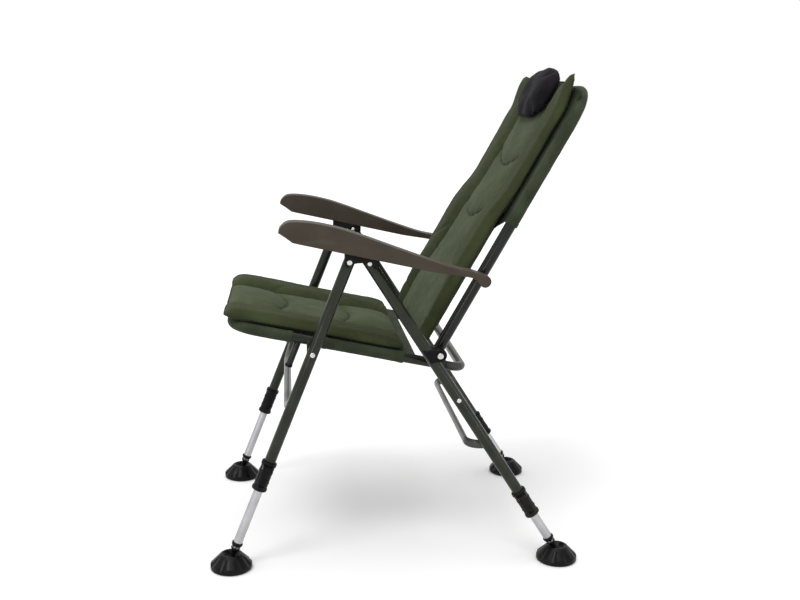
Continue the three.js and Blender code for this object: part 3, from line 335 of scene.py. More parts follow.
def bend_tube(name, corners, radius, bend_radius=0.0, bend_steps=14, rim=0.0012, step=1.0):
    """A round tube drawn through its corners, each corner bent round a former."""

    def draw_out(start, end):
        rounds = max(1, round((end - start).length / step))
        for _ in range(rounds):
            bpy.ops.mesh.extrude_region_move(TRANSFORM_OT_translate={"value": (end - start) / rounds})

    corners = [Vector(corner) for corner in corners]
    tube = add_disc(name, corners[0], corners[1] - corners[0], radius)
    edit_whole(tube)
    here = corners[0]
    for before, corner, after in zip(corners, corners[1:], corners[2:]):
        way_in = (corner - before).normalized()
        way_out = (after - corner).normalized()
        turn = way_in.angle(way_out)
        reach = bend_radius * math.tan(turn / 2)
        stop = corner - way_in * reach
        draw_out(here, stop)
        axis = way_in.cross(way_out).normalized()
        centre = stop + axis.cross(way_in) * bend_radius
        bpy.ops.mesh.spin(steps=bend_steps, angle=-turn, center=centre, axis=axis)
        here = corner + way_out * reach
    draw_out(here, corners[-1])
    end_edit()
    face_outwards(tube)
    if rim:
        round_rims(tube, rim)
    smooth_shade(tube)
    return tube


def finish_piece(piece, finish, body, *nodes, slot=None):
    piece.data.materials.clear()
    piece.data.materials.append(finish.material)
    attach(piece, body)
    if nodes:
        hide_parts(*nodes)
    return piece

green_paint = painted_steel(
    "green_paint", "green_paint", (29, 32, 24), (42, 46, 34), (112, 114, 102), 0.15, 0.2
)
sides = (("left", 1), ("right", -1))
leg_x = 0.280
leg_radius = 0.0125
front_ball = Vector((0, -0.36775, 0.022))
rear_ball = Vector((0, 0.36775, 0.022))
front_pin = Vector((0, -0.11525, 0.688))
rear_pin = Vector((0, -0.07265, 0.6854))
front_leg_up = (front_pin - front_ball).normalized()
rear_leg_up = (rear_pin - rear_ball).normalized()
front_clamp_start = 0.172
rear_clamp_start = 0.108
clamp_length = 0.068
clamp_grip = 0.046
bracket_slope = -0.2
bracket_roof_z = 0.6796
roof_normal = Vector((0, -bracket_slope, 1)).normalized()

for side, sign in sides:
    out = Vector((sign * leg_x, 0, 0))
    front_low = front_ball + front_leg_up * (front_clamp_start + clamp_length - clamp_grip) + out
    front_top = front_pin + front_leg_up * 0.005 + out
    front_leg = bend_tube(f"front_leg_tube_{side}", [front_low, front_top], leg_radius)
    finish_piece(front_leg, green_paint, "front_frame", f"front_leg_{side}")
    rear_low = rear_ball + rear_leg_up * (rear_clamp_start + clamp_length - clamp_grip) + out
    rear_top = rear_pin + rear_leg_up * leg_radius + out
    rear_leg = bend_tube(f"rear_leg_tube_{side}", [rear_low, rear_top], leg_radius, rim=0)
    edit_whole(rear_leg)
    roof = Vector((0, rear_pin.y, bracket_roof_z + bracket_slope * rear_pin.y))
    bpy.ops.mesh.bisect(plane_co=roof, plane_no=roof_normal, use_fill=True, clear_outer=True)
    end_edit()
    round_rims(rear_leg, 0.0008)
    smooth_shade(rear_leg)
    finish_piece(rear_leg, green_paint, "rear_frame", f"rear_leg_{side}")

# Grey bars: a bent round tube between the front legs, a flattened one between the rear legs,
# and the seat's rear bar, all in plain grey enamel with a metal glint. The two rear bars take a
# darker copy of it, painted shade for where they sit back under the seat.
front_bar_paint = painted_steel(
    "front_bar_enamel", "grey_tube", (93, 92, 90), (112, 111, 109), (150, 149, 146), 0.45, 0.34
)
# Painted shade: the rear bars' enamel is a darker copy of the front bar's, for the shade under the seat.
shaded_grey_paint = painted_steel(
    "shaded_grey_enamel", "grey_tube", (62, 62, 59), (80, 80, 76), (128, 128, 124), 0.45, 0.34
)
front_bar_x = 0.2582
front_bar_radius = 0.009


def on_line(start, way, z):
    return start + way * ((z - start.z) / way.z)


def over_and_back(left_end, left_corner):
    """The ends and corners of a U between the chair's two sides, which mirror each other."""
    right_corner, right_end = left_corner.copy(), left_end.copy()
    right_corner.x, right_end.x = -left_corner.x, -left_end.x
    return [left_end, left_corner, right_corner, right_end]


across = Vector((front_bar_x, 0, 0))
bar_end = on_line(front_ball, front_leg_up, 0.425) + across
bar_corner = on_line(front_ball, front_leg_up, 0.348) + across
front_bar = bend_tube("front_bar", over_and_back(bar_end, bar_corner), front_bar_radius, 0.068)
finish_piece(front_bar, front_bar_paint, "front_frame", "front_crossbar")

rear_bar_x = 0.2612
rear_bar_y = 0.15625
rear_bar_z = 0.272
rear_bar_thickness = 0.006
rear_bar_flattening = 10 / 6
bar_end = Vector((rear_bar_x, on_line(rear_ball, rear_leg_up, rear_bar_z).y + 0.01, 0))
bar_corner = Vector((rear_bar_x, rear_bar_y, 0))
rear_bar = bend_tube("rear_bar", over_and_back(bar_end, bar_corner), rear_bar_thickness, 0.03)
work_on(rear_bar)
bpy.ops.transform.resize(value=(1, 1, rear_bar_flattening), center_override=(0, 0, 0))
bpy.ops.transform.translate(value=(0, 0, rear_bar_z))
settle(rear_bar)
finish_piece(rear_bar, shaded_grey_paint, "rear_frame", "rear_crossbar")

# Plugs, caps, clamps and brackets are moulded in one black nylon with a fine eroded grain and
# edges polished by handling.


def moulded_plastic(name, dark, light, gloss, grain, coat=0.0):
    plastic = Finish(name, name, 0.12, coat=coat)
    cloudy = plastic.noise(30, 4)
    eroded = plastic.noise(900, 3, 0.6)
    dusty = plastic.noise(12, 5).smooth(0.5, 0.8)
    scuffs = plastic.noise(70, 3, 0.7, plastic.stretched((1, 0.15, 0.15))).smooth(0.62, 0.8)
    tint = plastic.cloud(dark, light, cloudy)
    tint = plastic.blend(scuffs * 0.3, tint, on_screen(92, 89, 86))
    plastic.put("Base Color", plastic.blend(dusty * 0.12, tint, on_screen(120, 116, 108)))
    plastic.put("Roughness", gloss + dusty * 0.2 + eroded * 0.08)
    plastic.relief(eroded * 0.7 + cloudy * 0.3, grain, 0.35)
    return plastic


black_plastic = moulded_plastic("black_plastic", (9, 8, 9), (15, 14, 15), 0.34, 0.00025)

# Seat frame: one 22 mm tube bent round the front, with hinge tabs, hook plates and short
# stub posts welded on, and a grey rear bar plugged into its ends.
seat_slope = math.radians(10.9)
seat_way = Vector((0, math.cos(seat_slope), -math.sin(seat_slope)))
seat_up = Vector((0, math.sin(seat_slope), math.cos(seat_slope)))
rail_start = Vector((0, 0.01025, 0.4676))
rail_x = 0.238
rail_radius = 0.011
rail_bend = 0.055
seat_front_y = -0.364


def on_seat(x, y, height=0.0):
    return rail_start + seat_way * ((y - rail_start.y) / seat_way.y) + seat_up * height + Vector((x, 0, 0))


def round_seat(open_y, bent_y):
    return over_and_back(on_seat(rail_x, open_y), on_seat(rail_x, bent_y))


seat_tube = bend_tube("seat_tube", round_seat(0.104, seat_front_y), rail_radius, rail_bend)
finish_piece(seat_tube, green_paint, "seat", "seat_frame")
seat_bar = bend_tube("seat_back_bar", round_seat(0.1043, 0.143), 0.010, 0.032)
finish_piece(seat_bar, shaded_grey_paint, "seat", "seat_rear_bar")


def cut_plate(name, outline, x, thickness, rim, segments=3):
    """A flat plate: its outline in the side view, drawn out across from x, its rims eased."""
    plate = add_disc(name, (0, 0, 0), (0, 0, 1), 1, sides=len(outline))
    for vertex, point in zip(plate.data.vertices, outline):
        vertex.co = (x, point.y, point.z)
    edit_whole(plate)
    bpy.ops.mesh.extrude_region_move(TRANSFORM_OT_translate={"value": (thickness, 0, 0)})
    end_edit()
    face_outwards(plate)
    round_rims(plate, rim, segments)
    smooth_shade(plate)
    return plate


def arc(centre, radius, start, end, steps):
    """Points of a round arc in the side view, its angles in degrees from +Y towards +Z."""
    angles = [math.radians(start + (end - start) * step / steps) for step in range(steps + 1)]
    return [Vector(centre) + Vector((0, math.cos(a), math.sin(a))) * radius for a in angles]


hinge = Vector((0, 0.08325, 0.485))
stud = on_line(front_ball, front_leg_up, 0.487)
stud_slot = 0.0043
tab_radius = 0.0115
tab_half = 0.017
tab_x = 0.2319
hook_x = 0.2496
post_x = 0.236
post_length = 0.068
tab_foot = on_seat(0, hinge.y)
tab_outline = [
    tab_foot - seat_way * tab_half, tab_foot + seat_way * tab_half, *arc(hinge, tab_radius, -10, 200, 14)
]
hook_outline = [
    on_seat(0, stud.y + 0.014) + Vector((0, 0, 0.004)),
    on_seat(0, stud.y - 0.012) + Vector((0, 0, 0.004)),
    stud + Vector((0, -0.012, -0.010)),
    stud + Vector((0, -stud_slot, -0.010)),
    *arc(stud, stud_slot, 180, 90, 6),
    stud + Vector((0, 0.014, stud_slot)),
]
for side, sign in sides:
    tab = cut_plate(f"hinge_tab_{side}", tab_outline, sign * tab_x, sign * 0.003, 0.0007)
    finish_piece(tab, green_paint, "seat")
    hook = cut_plate(f"hook_plate_{side}", hook_outline, sign * hook_x, sign * 0.004, 0.0008)
    finish_piece(hook, green_paint, "seat")
    post_top = on_seat(sign * post_x, -0.219)
    post_end = post_top - front_leg_up * post_length
    post = bend_tube(f"stub_post_{side}", [post_top, post_end], 0.0075)
    finish_piece(post, green_paint, "seat")
    plug_ends = [post_end + front_leg_up * 0.007, post_end - front_leg_up * 0.0005]
    plug = bend_tube(f"stub_plug_{side}", plug_ends, 0.0084, rim=0.0025)
    finish_piece(plug, black_plastic, "seat")

# Back frame: one 25 mm steel tube in the green paint, bent over the top. Its paint is a darker
# copy, painted shade for where it lies behind the back cushion. Its lower ends turn on the hinge
# bolts.
back_lean = math.radians(28.6)
back_up = Vector((0, math.sin(back_lean), math.cos(back_lean)))
back_face = Vector((0, -math.cos(back_lean), math.sin(back_lean)))
back_tube_x = 0.248
back_top = 0.643
back_bend = 0.070


def on_back(x, s, n=0.0):
    return hinge + back_up * s + back_face * n + Vector((x, 0, 0))


def over_back(low_end):
    return over_and_back(on_back(back_tube_x, low_end), on_back(back_tube_x, back_top))


back_tube = bend_tube("back_tube", over_back(-0.012), 0.0125, back_bend)
# Painted shade: the green paint made darker for the back tube, which lies behind the cushion.
shaded_back_tube_paint = painted_steel(
    "shaded_back_tube_paint", "green_paint", (22, 24, 20), (32, 35, 30), (104, 106, 100), 0.25, 0.16
)
finish_piece(back_tube, shaded_back_tube_paint, "back", "back_frame")

# Cushion cloth: a napped green polyester over foam. The middle panel is a greyer green than the
# borders. The seams are sunk, with painted shade along them, and lighter stitches run beside them.


def napped_cloth(name, *tints):
    border, border_light, panel, panel_light, seam_shade = [on_screen(*tint) for tint in tints]
    cloth = Finish(name, "cushion_cloth", 0.1, sheen=0.05)
    brushed = cloth.noise(34, 5, 0.6)
    worn = cloth.noise(9, 4).smooth(0.35, 0.7)
    fine = cloth.noise(620, 2, 0.6)
    mottle = (brushed * 0.7 + worn * 0.3).smooth(0.25, 0.75)
    border_tint = cloth.blend(mottle, border, border_light)
    panel_tint = cloth.blend(mottle, panel, panel_light)
    tint = cloth.blend(cloth.attribute("panel_share"), border_tint, panel_tint)
    # Painted shade: the sunk seams are darkened along their lines, as deep as they sink.
    tint = cloth.blend(cloth.attribute("sunk_share") * 0.55, tint, seam_shade)
    away = cloth.attribute("stitch_away")
    beside = 1.0 - cloth.size_of(away - 0.0035).smooth(0.0004, 0.0009)
    dashes = cloth.wave(cloth.attribute("stitch_along"), 0.0052).smooth(0.38, 0.5)
    tint = cloth.blend(beside * dashes * 0.4, tint, panel_light)
    cloth.put("Base Color", cloth.blend(fine.smooth(0.35, 0.65) * 0.14, tint, on_screen(20, 26, 16)))
    cloth.put("Roughness", 0.86 + mottle * 0.08)
    cloth.relief(cloth.weave(0.0011) * 0.45 + brushed * 0.35 + fine * 0.2, 0.0005, 0.35)
    return cloth


def quilted_form(name, half_width, length, rim, base, face, edge_round, columns=70, rows=70):
    """A closed padded form, laid flat: X across, Y along, Z up from what it rests on."""
    points = []
    draw_in = 0.005
    corner_share = 0.03
    for is_top in (True, False):
        for j in range(rows + 1):
            for i in range(columns + 1):
                across = math.sin(math.pi * (i / columns - 0.5))
                along = (1 - math.cos(math.pi * j / rows)) / 2
                ends = 2 * along - 1
                corner = 1 - corner_share * abs(across * ends) ** 6
                x = across * (half_width - draw_in * (1 - ends * ends)) * corner
                y = length / 2 + ends * length * corner / 2
                to_edge = min((1 - abs(across)) * half_width, along * length, (1 - along) * length)
                inward = 1 - min(to_edge / edge_round, 1)
                roundness = math.sqrt(max(1 - inward * inward, 0))
                surface = face(x, y) if is_top else base(y)
                points.append((x, y, rim(y) + (surface - rim(y)) * roundness))
    faces = []
    row = columns + 1
    layer = row * (rows + 1)
    for j in range(rows):
        for i in range(columns):
            corner = j * row + i
            faces.append((corner, corner + 1, corner + row + 1, corner + row))
            low = corner + layer
            faces.append((low, low + row, low + row + 1, low + 1))
    mesh = bpy.data.meshes.new(name)
    mesh.from_pydata(points, [], faces)
    form = bpy.data.objects.new(name, mesh)
    scene.collection.objects.link(form)
    face_outwards(form)
    return form


def plump(piece, voxel, cap, pressure=4.0, moments=20):
    """The filling presses the cloth out, by no more than the cap, and the cloth draws tight."""
    apply_modifier(piece, "REMESH", mode="VOXEL", voxel_size=voxel)
    apply_modifier(piece, "SMOOTH", factor=0.5, iterations=3)
    flat = [vertex.co.copy() for vertex in piece.data.vertices]
    work_on(piece)
    filling = piece.modifiers.new("filling", "CLOTH")
    filling.settings.use_pressure = True
    filling.settings.uniform_pressure_force = pressure
    filling.settings.effector_weights.gravity = 0
    filling.settings.quality = 4
    filling.point_cache.frame_start = 1
    filling.point_cache.frame_end = moments
    for moment in range(1, moments + 1):
        scene.frame_set(moment)
    bpy.ops.object.modifier_apply(modifier=filling.name)
    scene.frame_set(1)
    for vertex, start in zip(piece.data.vertices, flat):
        move = vertex.co - start
        if move.length > cap:
            vertex.co = start + move * (cap / move.length)
    apply_modifier(piece, "SUBSURF", levels=1, render_levels=1)


def ripple(x, y, seed, scale):
    return noise.noise(Vector((x * scale, y * scale, seed)))


seam_width, seam_depth = 0.0028, 0.0026
dip_reach, dip_depth = 0.011, 0.0032
tuck_reach, tuck_depth = 0.016, 0.0026
crease_width, crease_depth = 0.006, 0.0034
bolster_width = 0.048


def sew(piece, half_at, seams, scallop, is_face, creases):
    """Seams drawn in after the filling: a sunk line, a soft dip beside it and small tucks."""
    fields = {"panel_share": [], "sunk_share": [], "stitch_away": [], "stitch_along": []}
    for vertex in piece.data.vertices:
        x, y, z = vertex.co
        half = half_at(y)
        share = is_face(x, y, z)
        away = abs(x) - half
        along = y
        for place in seams:
            cross = y + scallop * min(abs(x) / half, 1) ** 2 - place
            if abs(x) < half and abs(cross) < abs(away):
                away, along = cross, x
        near = math.exp(-((away / seam_width) ** 2))
        dip = math.exp(-abs(away) / dip_reach)
        tuck = ripple(along, math.copysign(1, x) * 0.2, 3.1, 75) * math.exp(-abs(away) / tuck_reach)
        pucker = ripple(x, y, 7.7, 26) * 0.6 + ripple(x, y, 2.2, 60) * 0.4
        sag = ripple(x * 0.6, y, 5.5, 11)
        fall = near * seam_depth + dip * dip_depth - tuck * tuck_depth - pucker * 0.0011 - sag * 0.0016
        for (crease_x, crease_y, way_x, way_y, crease_length) in creases:
            dx, dy = abs(x) - crease_x, y - crease_y
            run = dx * way_x + dy * way_y
            off = dx * way_y - dy * way_x
            if -0.01 < run < crease_length * 1.3:
                side_fade = math.exp(-((off / crease_width) ** 2))
                fall += crease_depth * side_fade * max(0.0, 1 - abs(run / crease_length - 0.4))
        vertex.co.z -= fall * share
        in_panel = share if abs(x) < half else 0.0
        stitch_away = abs(away) if share > 0.5 else 1.0
        for field, value in zip(fields.values(), (in_panel, near * share, stitch_away, along)):
            field.append(value)
    for name, values in fields.items():
        piece.data.attributes.new(name, "FLOAT", "POINT").data.foreach_set("value", values)


def share_between(value, low, high):
    return min(max((value - low) / (high - low), 0.0), 1.0)


def ease(value, low, high):
    share = share_between(value, low, high)
    return share * share * (3 - 2 * share)


def sewn_face(x, y, half, border, seam, crown, seams, scallop):
    """Height of the quilted face: a bolster outside the side seams, crowned sections inside."""
    outside = abs(x) - half
    if outside > 0:
        return seam + (border - seam) * math.sin(min(outside / bolster_width, 1) * math.pi / 2) ** 0.8
    across = x / half
    shifted = y + scallop * across * across
    low = max([place for place in seams if place <= shifted], default=seams[0])
    high = min([place for place in seams if place > shifted], default=seams[-1])
    share = share_between(shifted, low, high) if high > low else 0.0
    return seam + crown * (max(1 - across * across, 0) * math.sin(math.pi * share)) ** 0.45


def lay_in_place(piece, start, along, up):
    """The form made flat goes to its place on the frame, and its mesh keeps that place."""
    piece.data.transform(placed((1, 0, 0), along, up, start))
    smooth_shade(piece, 180)


def squash_in_fold(piece):
    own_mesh(piece)


# The last colour is painted shade, drawn dark into the sunk seams.
cushion_cloth = napped_cloth(
    "cushion_cloth", (53, 60, 36), (66, 73, 47), (70, 79, 54), (86, 94, 72), (28, 33, 20)
)
pad_half = 0.247
pad_edge_round = 0.027
pad_voxel = 0.005
pad_puff = 0.006

# Seat cushion: foam in napped cloth on the sling, with two raised borders and a middle panel in
# three rounded sections.
seat_pad_front_y = -0.39275
seat_pad_front = on_seat(0, seat_pad_front_y)
seat_pad_length = 0.4142
seat_seams = [(-0.249 + 0.39275) / seat_way.y, (-0.101 + 0.39275) / seat_way.y]
seat_seam_ends = [0.0, *seat_seams, seat_pad_length + 0.038]
seat_scallop = 0.038
seat_panel_half = 0.112
seat_base = 0.0128
seat_rim = 0.021
seat_creases = [
    (seat_panel_half, seat_seams[0] - seat_scallop, 0.8, 0.6, 0.05),
    (seat_panel_half, seat_seams[1] - seat_scallop, 0.8, 0.6, 0.06),
    (seat_panel_half, seat_seams[1] + 0.05, 0.7, -0.7, 0.07),
    (0.15, seat_pad_length - 0.03, 0.9, 0.3, 0.08),
]


def seat_face(x, y):
    return sewn_face(x, y, seat_panel_half, 0.032, 0.016, 0.012, seat_seam_ends, seat_scallop)


def on_seat_face(x, y, z):
    """1 on the cushion's upper cover, 0 on its underside."""
    if abs(x) > seat_panel_half:
        return ease(z, seat_rim - 0.004, seat_rim + 0.002)
    return ease(z, 0.0135, 0.0155)


seat_pad = quilted_form(
    "seat_cushion",
    pad_half,
    seat_pad_length,
    lambda y: seat_rim,
    lambda y: seat_base + 0.001,
    seat_face,
    pad_edge_round,
)
plump(seat_pad, pad_voxel, pad_puff)
sew(seat_pad, lambda y: seat_panel_half, seat_seams, seat_scallop, on_seat_face, seat_creases)
for vertex in seat_pad.data.vertices:
    vertex.co.z = max(vertex.co.z, seat_base)
lay_in_place(seat_pad, seat_pad_front, seat_way, seat_up)
finish_piece(seat_pad, cushion_cloth, "seat", "seat_pad")
squash_in_fold(seat_pad)

# Back cushion: as the seat's, longer, with a middle panel that widens to the foot of the back
# and two scalloped seams above it.
back_pad_low = -0.014
back_pad_length = 0.679
back_seams = [0.290 - back_pad_low, 0.433 - back_pad_low]
back_scallop = -0.040
back_seam_ends = [back_scallop, *back_seams, back_pad_length]


def back_half(y):
    return 0.178 + (0.112 - 0.178) * ease(y + back_pad_low, 0.06, 0.25)


def up_the_back(y, lower, upper, start=0.29, end=0.40):
    return lower + (upper - lower) * ease(y + back_pad_low, start, end)


def back_base(y, lower, upper):
    """The underside, which steps down where the cushion leaves the sleeve."""
    return up_the_back(y - 0.026, lower, upper, 0.29, 0.33)


def back_pad_face(x, y):
    border, seam = up_the_back(y, 0.048, 0.034), up_the_back(y, 0.033, 0.022)
    crown = up_the_back(y, 0.011, 0.010)
    return sewn_face(x, y, back_half(y), border, seam, crown, back_seam_ends, back_scallop)


def on_back_face(x, y, z):
    """1 on the cushion's upper cover, 0 on its underside."""
    return ease(z, up_the_back(y, 0.028, 0.0195), up_the_back(y, 0.031, 0.0215))


def corner_lift(x, y):
    """How far the top corners stand up, drawn up by the pillow between them: 0 to 1."""
    return ease(abs(x), 0.165, 0.235) * ease(y, back_pad_length - 0.085, back_pad_length - 0.008)


back_creases = [
    (0.114, back_seams[0] + 0.045, 0.8, 0.6, 0.05),
    (0.114, back_seams[1] + 0.045, 0.8, 0.6, 0.05),
    (0.13, back_seams[0] - 0.05, 0.8, -0.6, 0.06),
    (0.16, 0.05, 0.9, 0.3, 0.07),
]
corner_rise = 0.018
corner_stretch = 0.010
back_pad_start = hinge + back_up * back_pad_low
back_anchor = on_back(0, 0.3, 0.0245)
back_pad = quilted_form(
    "back_cushion",
    pad_half,
    back_pad_length,
    lambda y: up_the_back(y, 0.034, 0.026),
    lambda y: back_base(y, 0.0253, 0.0186),
    back_pad_face,
    pad_edge_round,
    rows=100,
)
plump(back_pad, pad_voxel, pad_puff)
sew(back_pad, back_half, back_seams, back_scallop, on_back_face, back_creases)
for vertex in back_pad.data.vertices:
    x, y, z = vertex.co
    lift = corner_lift(x, y)
    vertex.co.z = max(z, back_base(y, 0.0245, 0.0178)) + corner_rise * lift
    vertex.co.y += corner_stretch * lift
lay_in_place(back_pad, back_pad_start, back_up, back_face)
finish_piece(back_pad, cushion_cloth, "back", "back_pad")
squash_in_fold(back_pad)

# Piping: a thin corded edge in the cushions' own cloth, sewn round each cushion where its top and
# bottom covers meet.
piping_tint = (62, 71, 46)
piping_cloth = napped_cloth(
    "piping_cloth", (50, 58, 36), piping_tint, piping_tint, piping_tint, (34, 40, 25)
)
piping_radius = 0.0019


def add_piping(name, points, body):
    """A closed cord through the points, drawn as a curve and made a mesh."""
    curve = bpy.data.curves.new(name, "CURVE")
    curve.dimensions = "3D"
    curve.bevel_depth = piping_radius
    curve.bevel_resolution = 3
    line = curve.splines.new("POLY")
    line.points.add(len(points) - 1)
    for knot, point in zip(line.points, points):
        knot.co = (*point, 1)
    line.use_cyclic_u = True
    cord = bpy.data.objects.new(name, curve)
    scene.collection.objects.link(cord)
    work_on(cord)
    bpy.ops.object.convert(target="MESH")
    cord = bpy.context.object
    smooth_shade(cord, 180)
    return finish_piece(cord, piping_cloth, body)


def cushion_edge(piece, place, rim_at, length, steps=200, squareness=14):
    """Points round a cushion at its rim, each sewn to the nearest place on its cover."""
    rounds = []
    for step in range(steps):
        turn = 2 * math.pi * step / steps
        across, along = math.cos(turn), math.sin(turn)
        stretch = 1 / (abs(across) ** squareness + abs(along) ** squareness) ** (1 / squareness)
        ends = along * stretch
        half = pad_half - 0.005 * (1 - min(abs(ends), 1) ** 2)
        x = across * stretch * half
        y = length / 2 + ends * length / 2
        rim = rim_at(y) + ripple(x, y, 4.2, 14) * 0.0008
        found, spot, facing, face = piece.closest_point_on_mesh(place(x, y, rim))
        rounds.append(spot + facing * 0.0006)
    return rounds


def seat_place(x, y, height):
    return seat_pad_front + Vector((x, 0, 0)) + seat_way * y + seat_up * height


def back_place(x, y, height):
    lift = corner_lift(x, y)
    across = back_pad_start + Vector((x, 0, 0))
    return across + back_up * (y + corner_stretch * lift) + back_face * (height + corner_rise * lift)


seat_edge = cushion_edge(seat_pad, seat_place, lambda y: 0.0185, seat_pad_length)
squash_in_fold(add_piping("seat_piping", seat_edge, "seat"))
back_edge = cushion_edge(
    back_pad, back_place, lambda y: up_the_back(y, 0.0325, 0.0245), back_pad_length
)
squash_in_fold(add_piping("back_piping", back_edge, "back"))

# Headrest pillow: a soft, lumpy pillow of black fleece over a loose filling. It lies across the
# top of the back cushion and is wider than it is tall.
fleece = Finish("headrest_fleece", "headrest_cloth", 0.08, sheen=0.05)
tufts = fleece.noise(150, 4, 0.65)
matted = fleece.noise(18, 4)
fleece_tint = fleece.cloud((15, 13, 16), (30, 27, 31), matted)
fleece.put("Base Color", fleece.blend(tufts.smooth(0.5, 0.75) * 0.4, fleece_tint, on_screen(44, 40, 45)))
fleece.put("Roughness", 0.88 + matted * 0.08)
fleece.relief(tufts * 0.7 + fleece.noise(520, 2) * 0.3, 0.0012, 0.5)

pillow_low = 0.546
pillow_length = 0.137
pillow_half = 0.126
pillow_base = 0.0328
pillow_rim = 0.038
pillow_top = 0.064
pillow_voxel = 0.0055
pillow_puff = 0.006


def pillow_face(x, y):
    dimple = math.exp(-(((x) / 0.05) ** 2) - (((y - 0.07) / 0.03) ** 2)) * 0.006
    return pillow_top - 0.010 * (x / pillow_half) ** 2 - dimple + 0.004 * ripple(x, y, 1.3, 16)


pillow = quilted_form(
    "headrest_pillow_cover",
    pillow_half,
    pillow_length,
    lambda y: pillow_rim,
    lambda y: pillow_base + 0.001,
    pillow_face,
    0.055,
    columns=50,
    rows=36,
)
for vertex in pillow.data.vertices:
    ends = vertex.co.x / pillow_half
    heights = vertex.co.y / (pillow_length / 2) - 1
    reach = max(abs(ends), abs(heights), 0.001)
    rounded = reach / (abs(ends) ** 3 + abs(heights) ** 3 + 0.000001) ** (1 / 3)
    vertex.co.x = ends * rounded * pillow_half
    vertex.co.y = (heights * rounded + 1) * pillow_length / 2
plump(pillow, pillow_voxel, pillow_puff)
for vertex in pillow.data.vertices:
    x, y, z = vertex.co
    gather = ripple(x, y, 8.8, 34) * 0.0012 + ripple(x, y * 1.4, 6.1, 13) * 0.0035
    vertex.co += vertex.normal * gather
    vertex.co.z = max(vertex.co.z, pillow_base)
lay_in_place(pillow, hinge + back_up * pillow_low, back_up, back_face)
finish_piece(pillow, fleece, "back", "headrest_pillow")

# Back sleeve, back panel, seat sleeves and sling: one tough green coated cloth, sewn into tubes
# round the frame and drawn tight between them.


def coated_cloth(name, slot, dark, light):
    cloth = Finish(name, slot, 0.15, sheen=0.03)
    threads = cloth.weave(0.0016)
    cloudy = cloth.noise(26, 4)
    dusty = cloth.noise(7, 5).smooth(0.45, 0.75)
    tint = cloth.blend(threads * 0.16, cloth.cloud(dark, light, cloudy), on_screen(88, 98, 76))
    cloth.put("Base Color", cloth.blend(dusty * 0.16, tint, on_screen(96, 102, 84)))
    cloth.put("Roughness", 0.68 + dusty * 0.14 + threads * 0.06)
    cloth.relief(threads * 0.6 + cloudy * 0.4, 0.0005, 0.45)
    return cloth


sleeve_cloth = coated_cloth("sleeve_cloth", "sleeve_cloth", (42, 50, 34), (58, 67, 49))
panel_cloth = coated_cloth("panel_cloth", "dark_cloth", (38, 45, 31), (52, 60, 43))


def crease(tube, seed, depth):
    """Small wrinkles along a sleeve, pushed in and out along its own surface."""
    for vertex in tube.data.vertices:
        spot = vertex.co
        pull = noise.noise(Vector((spot.x * 30, spot.y * 30, spot.z * 30 + seed)))
        pull += 0.5 * noise.noise(Vector((spot.x * 85, spot.y * 85, spot.z * 85 + seed)))
        vertex.co = spot + vertex.normal * (depth * pull)


def add_sleeve(name, corners, radius, bend_radius, body, node):
    """A creased sleeve along its corners, with a folded hem round each end."""
    sleeve = bend_tube(name, corners, radius, bend_radius, rim=0.0009, step=0.008, bend_steps=20)
    crease(sleeve, 1.7, 0.0006)
    smooth_shade(sleeve, 40)
    finish_piece(sleeve, sleeve_cloth, body, node)
    for end, (place, inward) in enumerate(((corners[0], corners[1]), (corners[-1], corners[-2]))):
        way = (inward - place).normalized()
        hem_ends = [place - way * 0.0006, place + way * 0.011]
        hem = bend_tube(f"{name}_hem_{end + 1}", hem_ends, radius + 0.0009, rim=0.0008)
        finish_piece(hem, sleeve_cloth, body)


seat_sleeve_radius = 0.0125
back_sleeve_radius = 0.014
add_sleeve(
    "back_sleeve_cloth", over_back(0.318), back_sleeve_radius, back_bend, "back", "back_sleeve"
)
front_corners = round_seat(-0.235, seat_front_y)
add_sleeve(
    "seat_sleeve_front_cloth", front_corners, seat_sleeve_radius, rail_bend, "seat", "seat_sleeve_front"
)
for side, sign in sides:
    ends = [on_seat(sign * rail_x, -0.170), on_seat(sign * rail_x, 0.009)]
    node = f"seat_sleeve_rear_{side}"
    add_sleeve(f"seat_sleeve_cloth_{side}", ends, seat_sleeve_radius, 0, "seat", node)


def add_sheet(name, place, half_width, length, columns, rows, thickness):
    """A flat sheet in rows and columns, each point set on its surface, then given its thickness."""
    bpy.ops.object.select_all(action="DESELECT")
    bpy.ops.mesh.primitive_grid_add(x_subdivisions=columns, y_subdivisions=rows, size=1)
    sheet = newly(name)
    for vertex in sheet.data.vertices:
        vertex.co = place(vertex.co.x * 2 * half_width, (vertex.co.y + 0.5) * length)
    settle(sheet)
    face_outwards(sheet)
    apply_modifier(sheet, "SOLIDIFY", thickness=thickness, offset=0)
    smooth_shade(sheet, 60)
    return sheet


sling_front_y = -0.352
sling_half = 0.2315
sling_height = 0.0102
sling_length = (0.034 - sling_front_y) / seat_way.y


def sling_place(x, y):
    sag = -0.0012 * math.sin(math.pi * y / sling_length) * (1 - ease(abs(x), 0.19, sling_half))
    lift = sling_height + sag + 0.0004 * ripple(x, y, 3.3, 40)
    return on_seat(x, sling_front_y) + seat_way * y + seat_up * lift


sling = add_sheet("seat_sling_cloth", sling_place, sling_half, sling_length, 60, 48, 0.0012)
finish_piece(sling, panel_cloth, "seat", "seat_sling")

panel_low = 0.045
panel_length = 0.594
panel_half = 0.2225


def panel_place(x, y):
    s = panel_low + y
    upper = ease(s, 0.290, 0.330)
    height = 0.0225 + (0.0155 - 0.0225) * upper
    dish = -0.0008 * math.sin(math.pi * y / panel_length) * (1 - (x / 0.24) ** 2)
    wrap = -0.0045 * upper * ease(abs(x), 0.200, panel_half)
    return on_back(x * (1 + 0.103 * upper), s, height + dish + wrap + 0.0004 * ripple(x, y, 9.1, 40))


panel = add_sheet("back_panel_cloth", panel_place, panel_half, panel_length, 60, 74, 0.0013)
finish_piece(panel, panel_cloth, "back", "back_panel")

# Rear leg fittings: the saddles that carry the hinge of the back and the seat, moulded round the
# legs and held by the hinge bolt, each with a round boss.


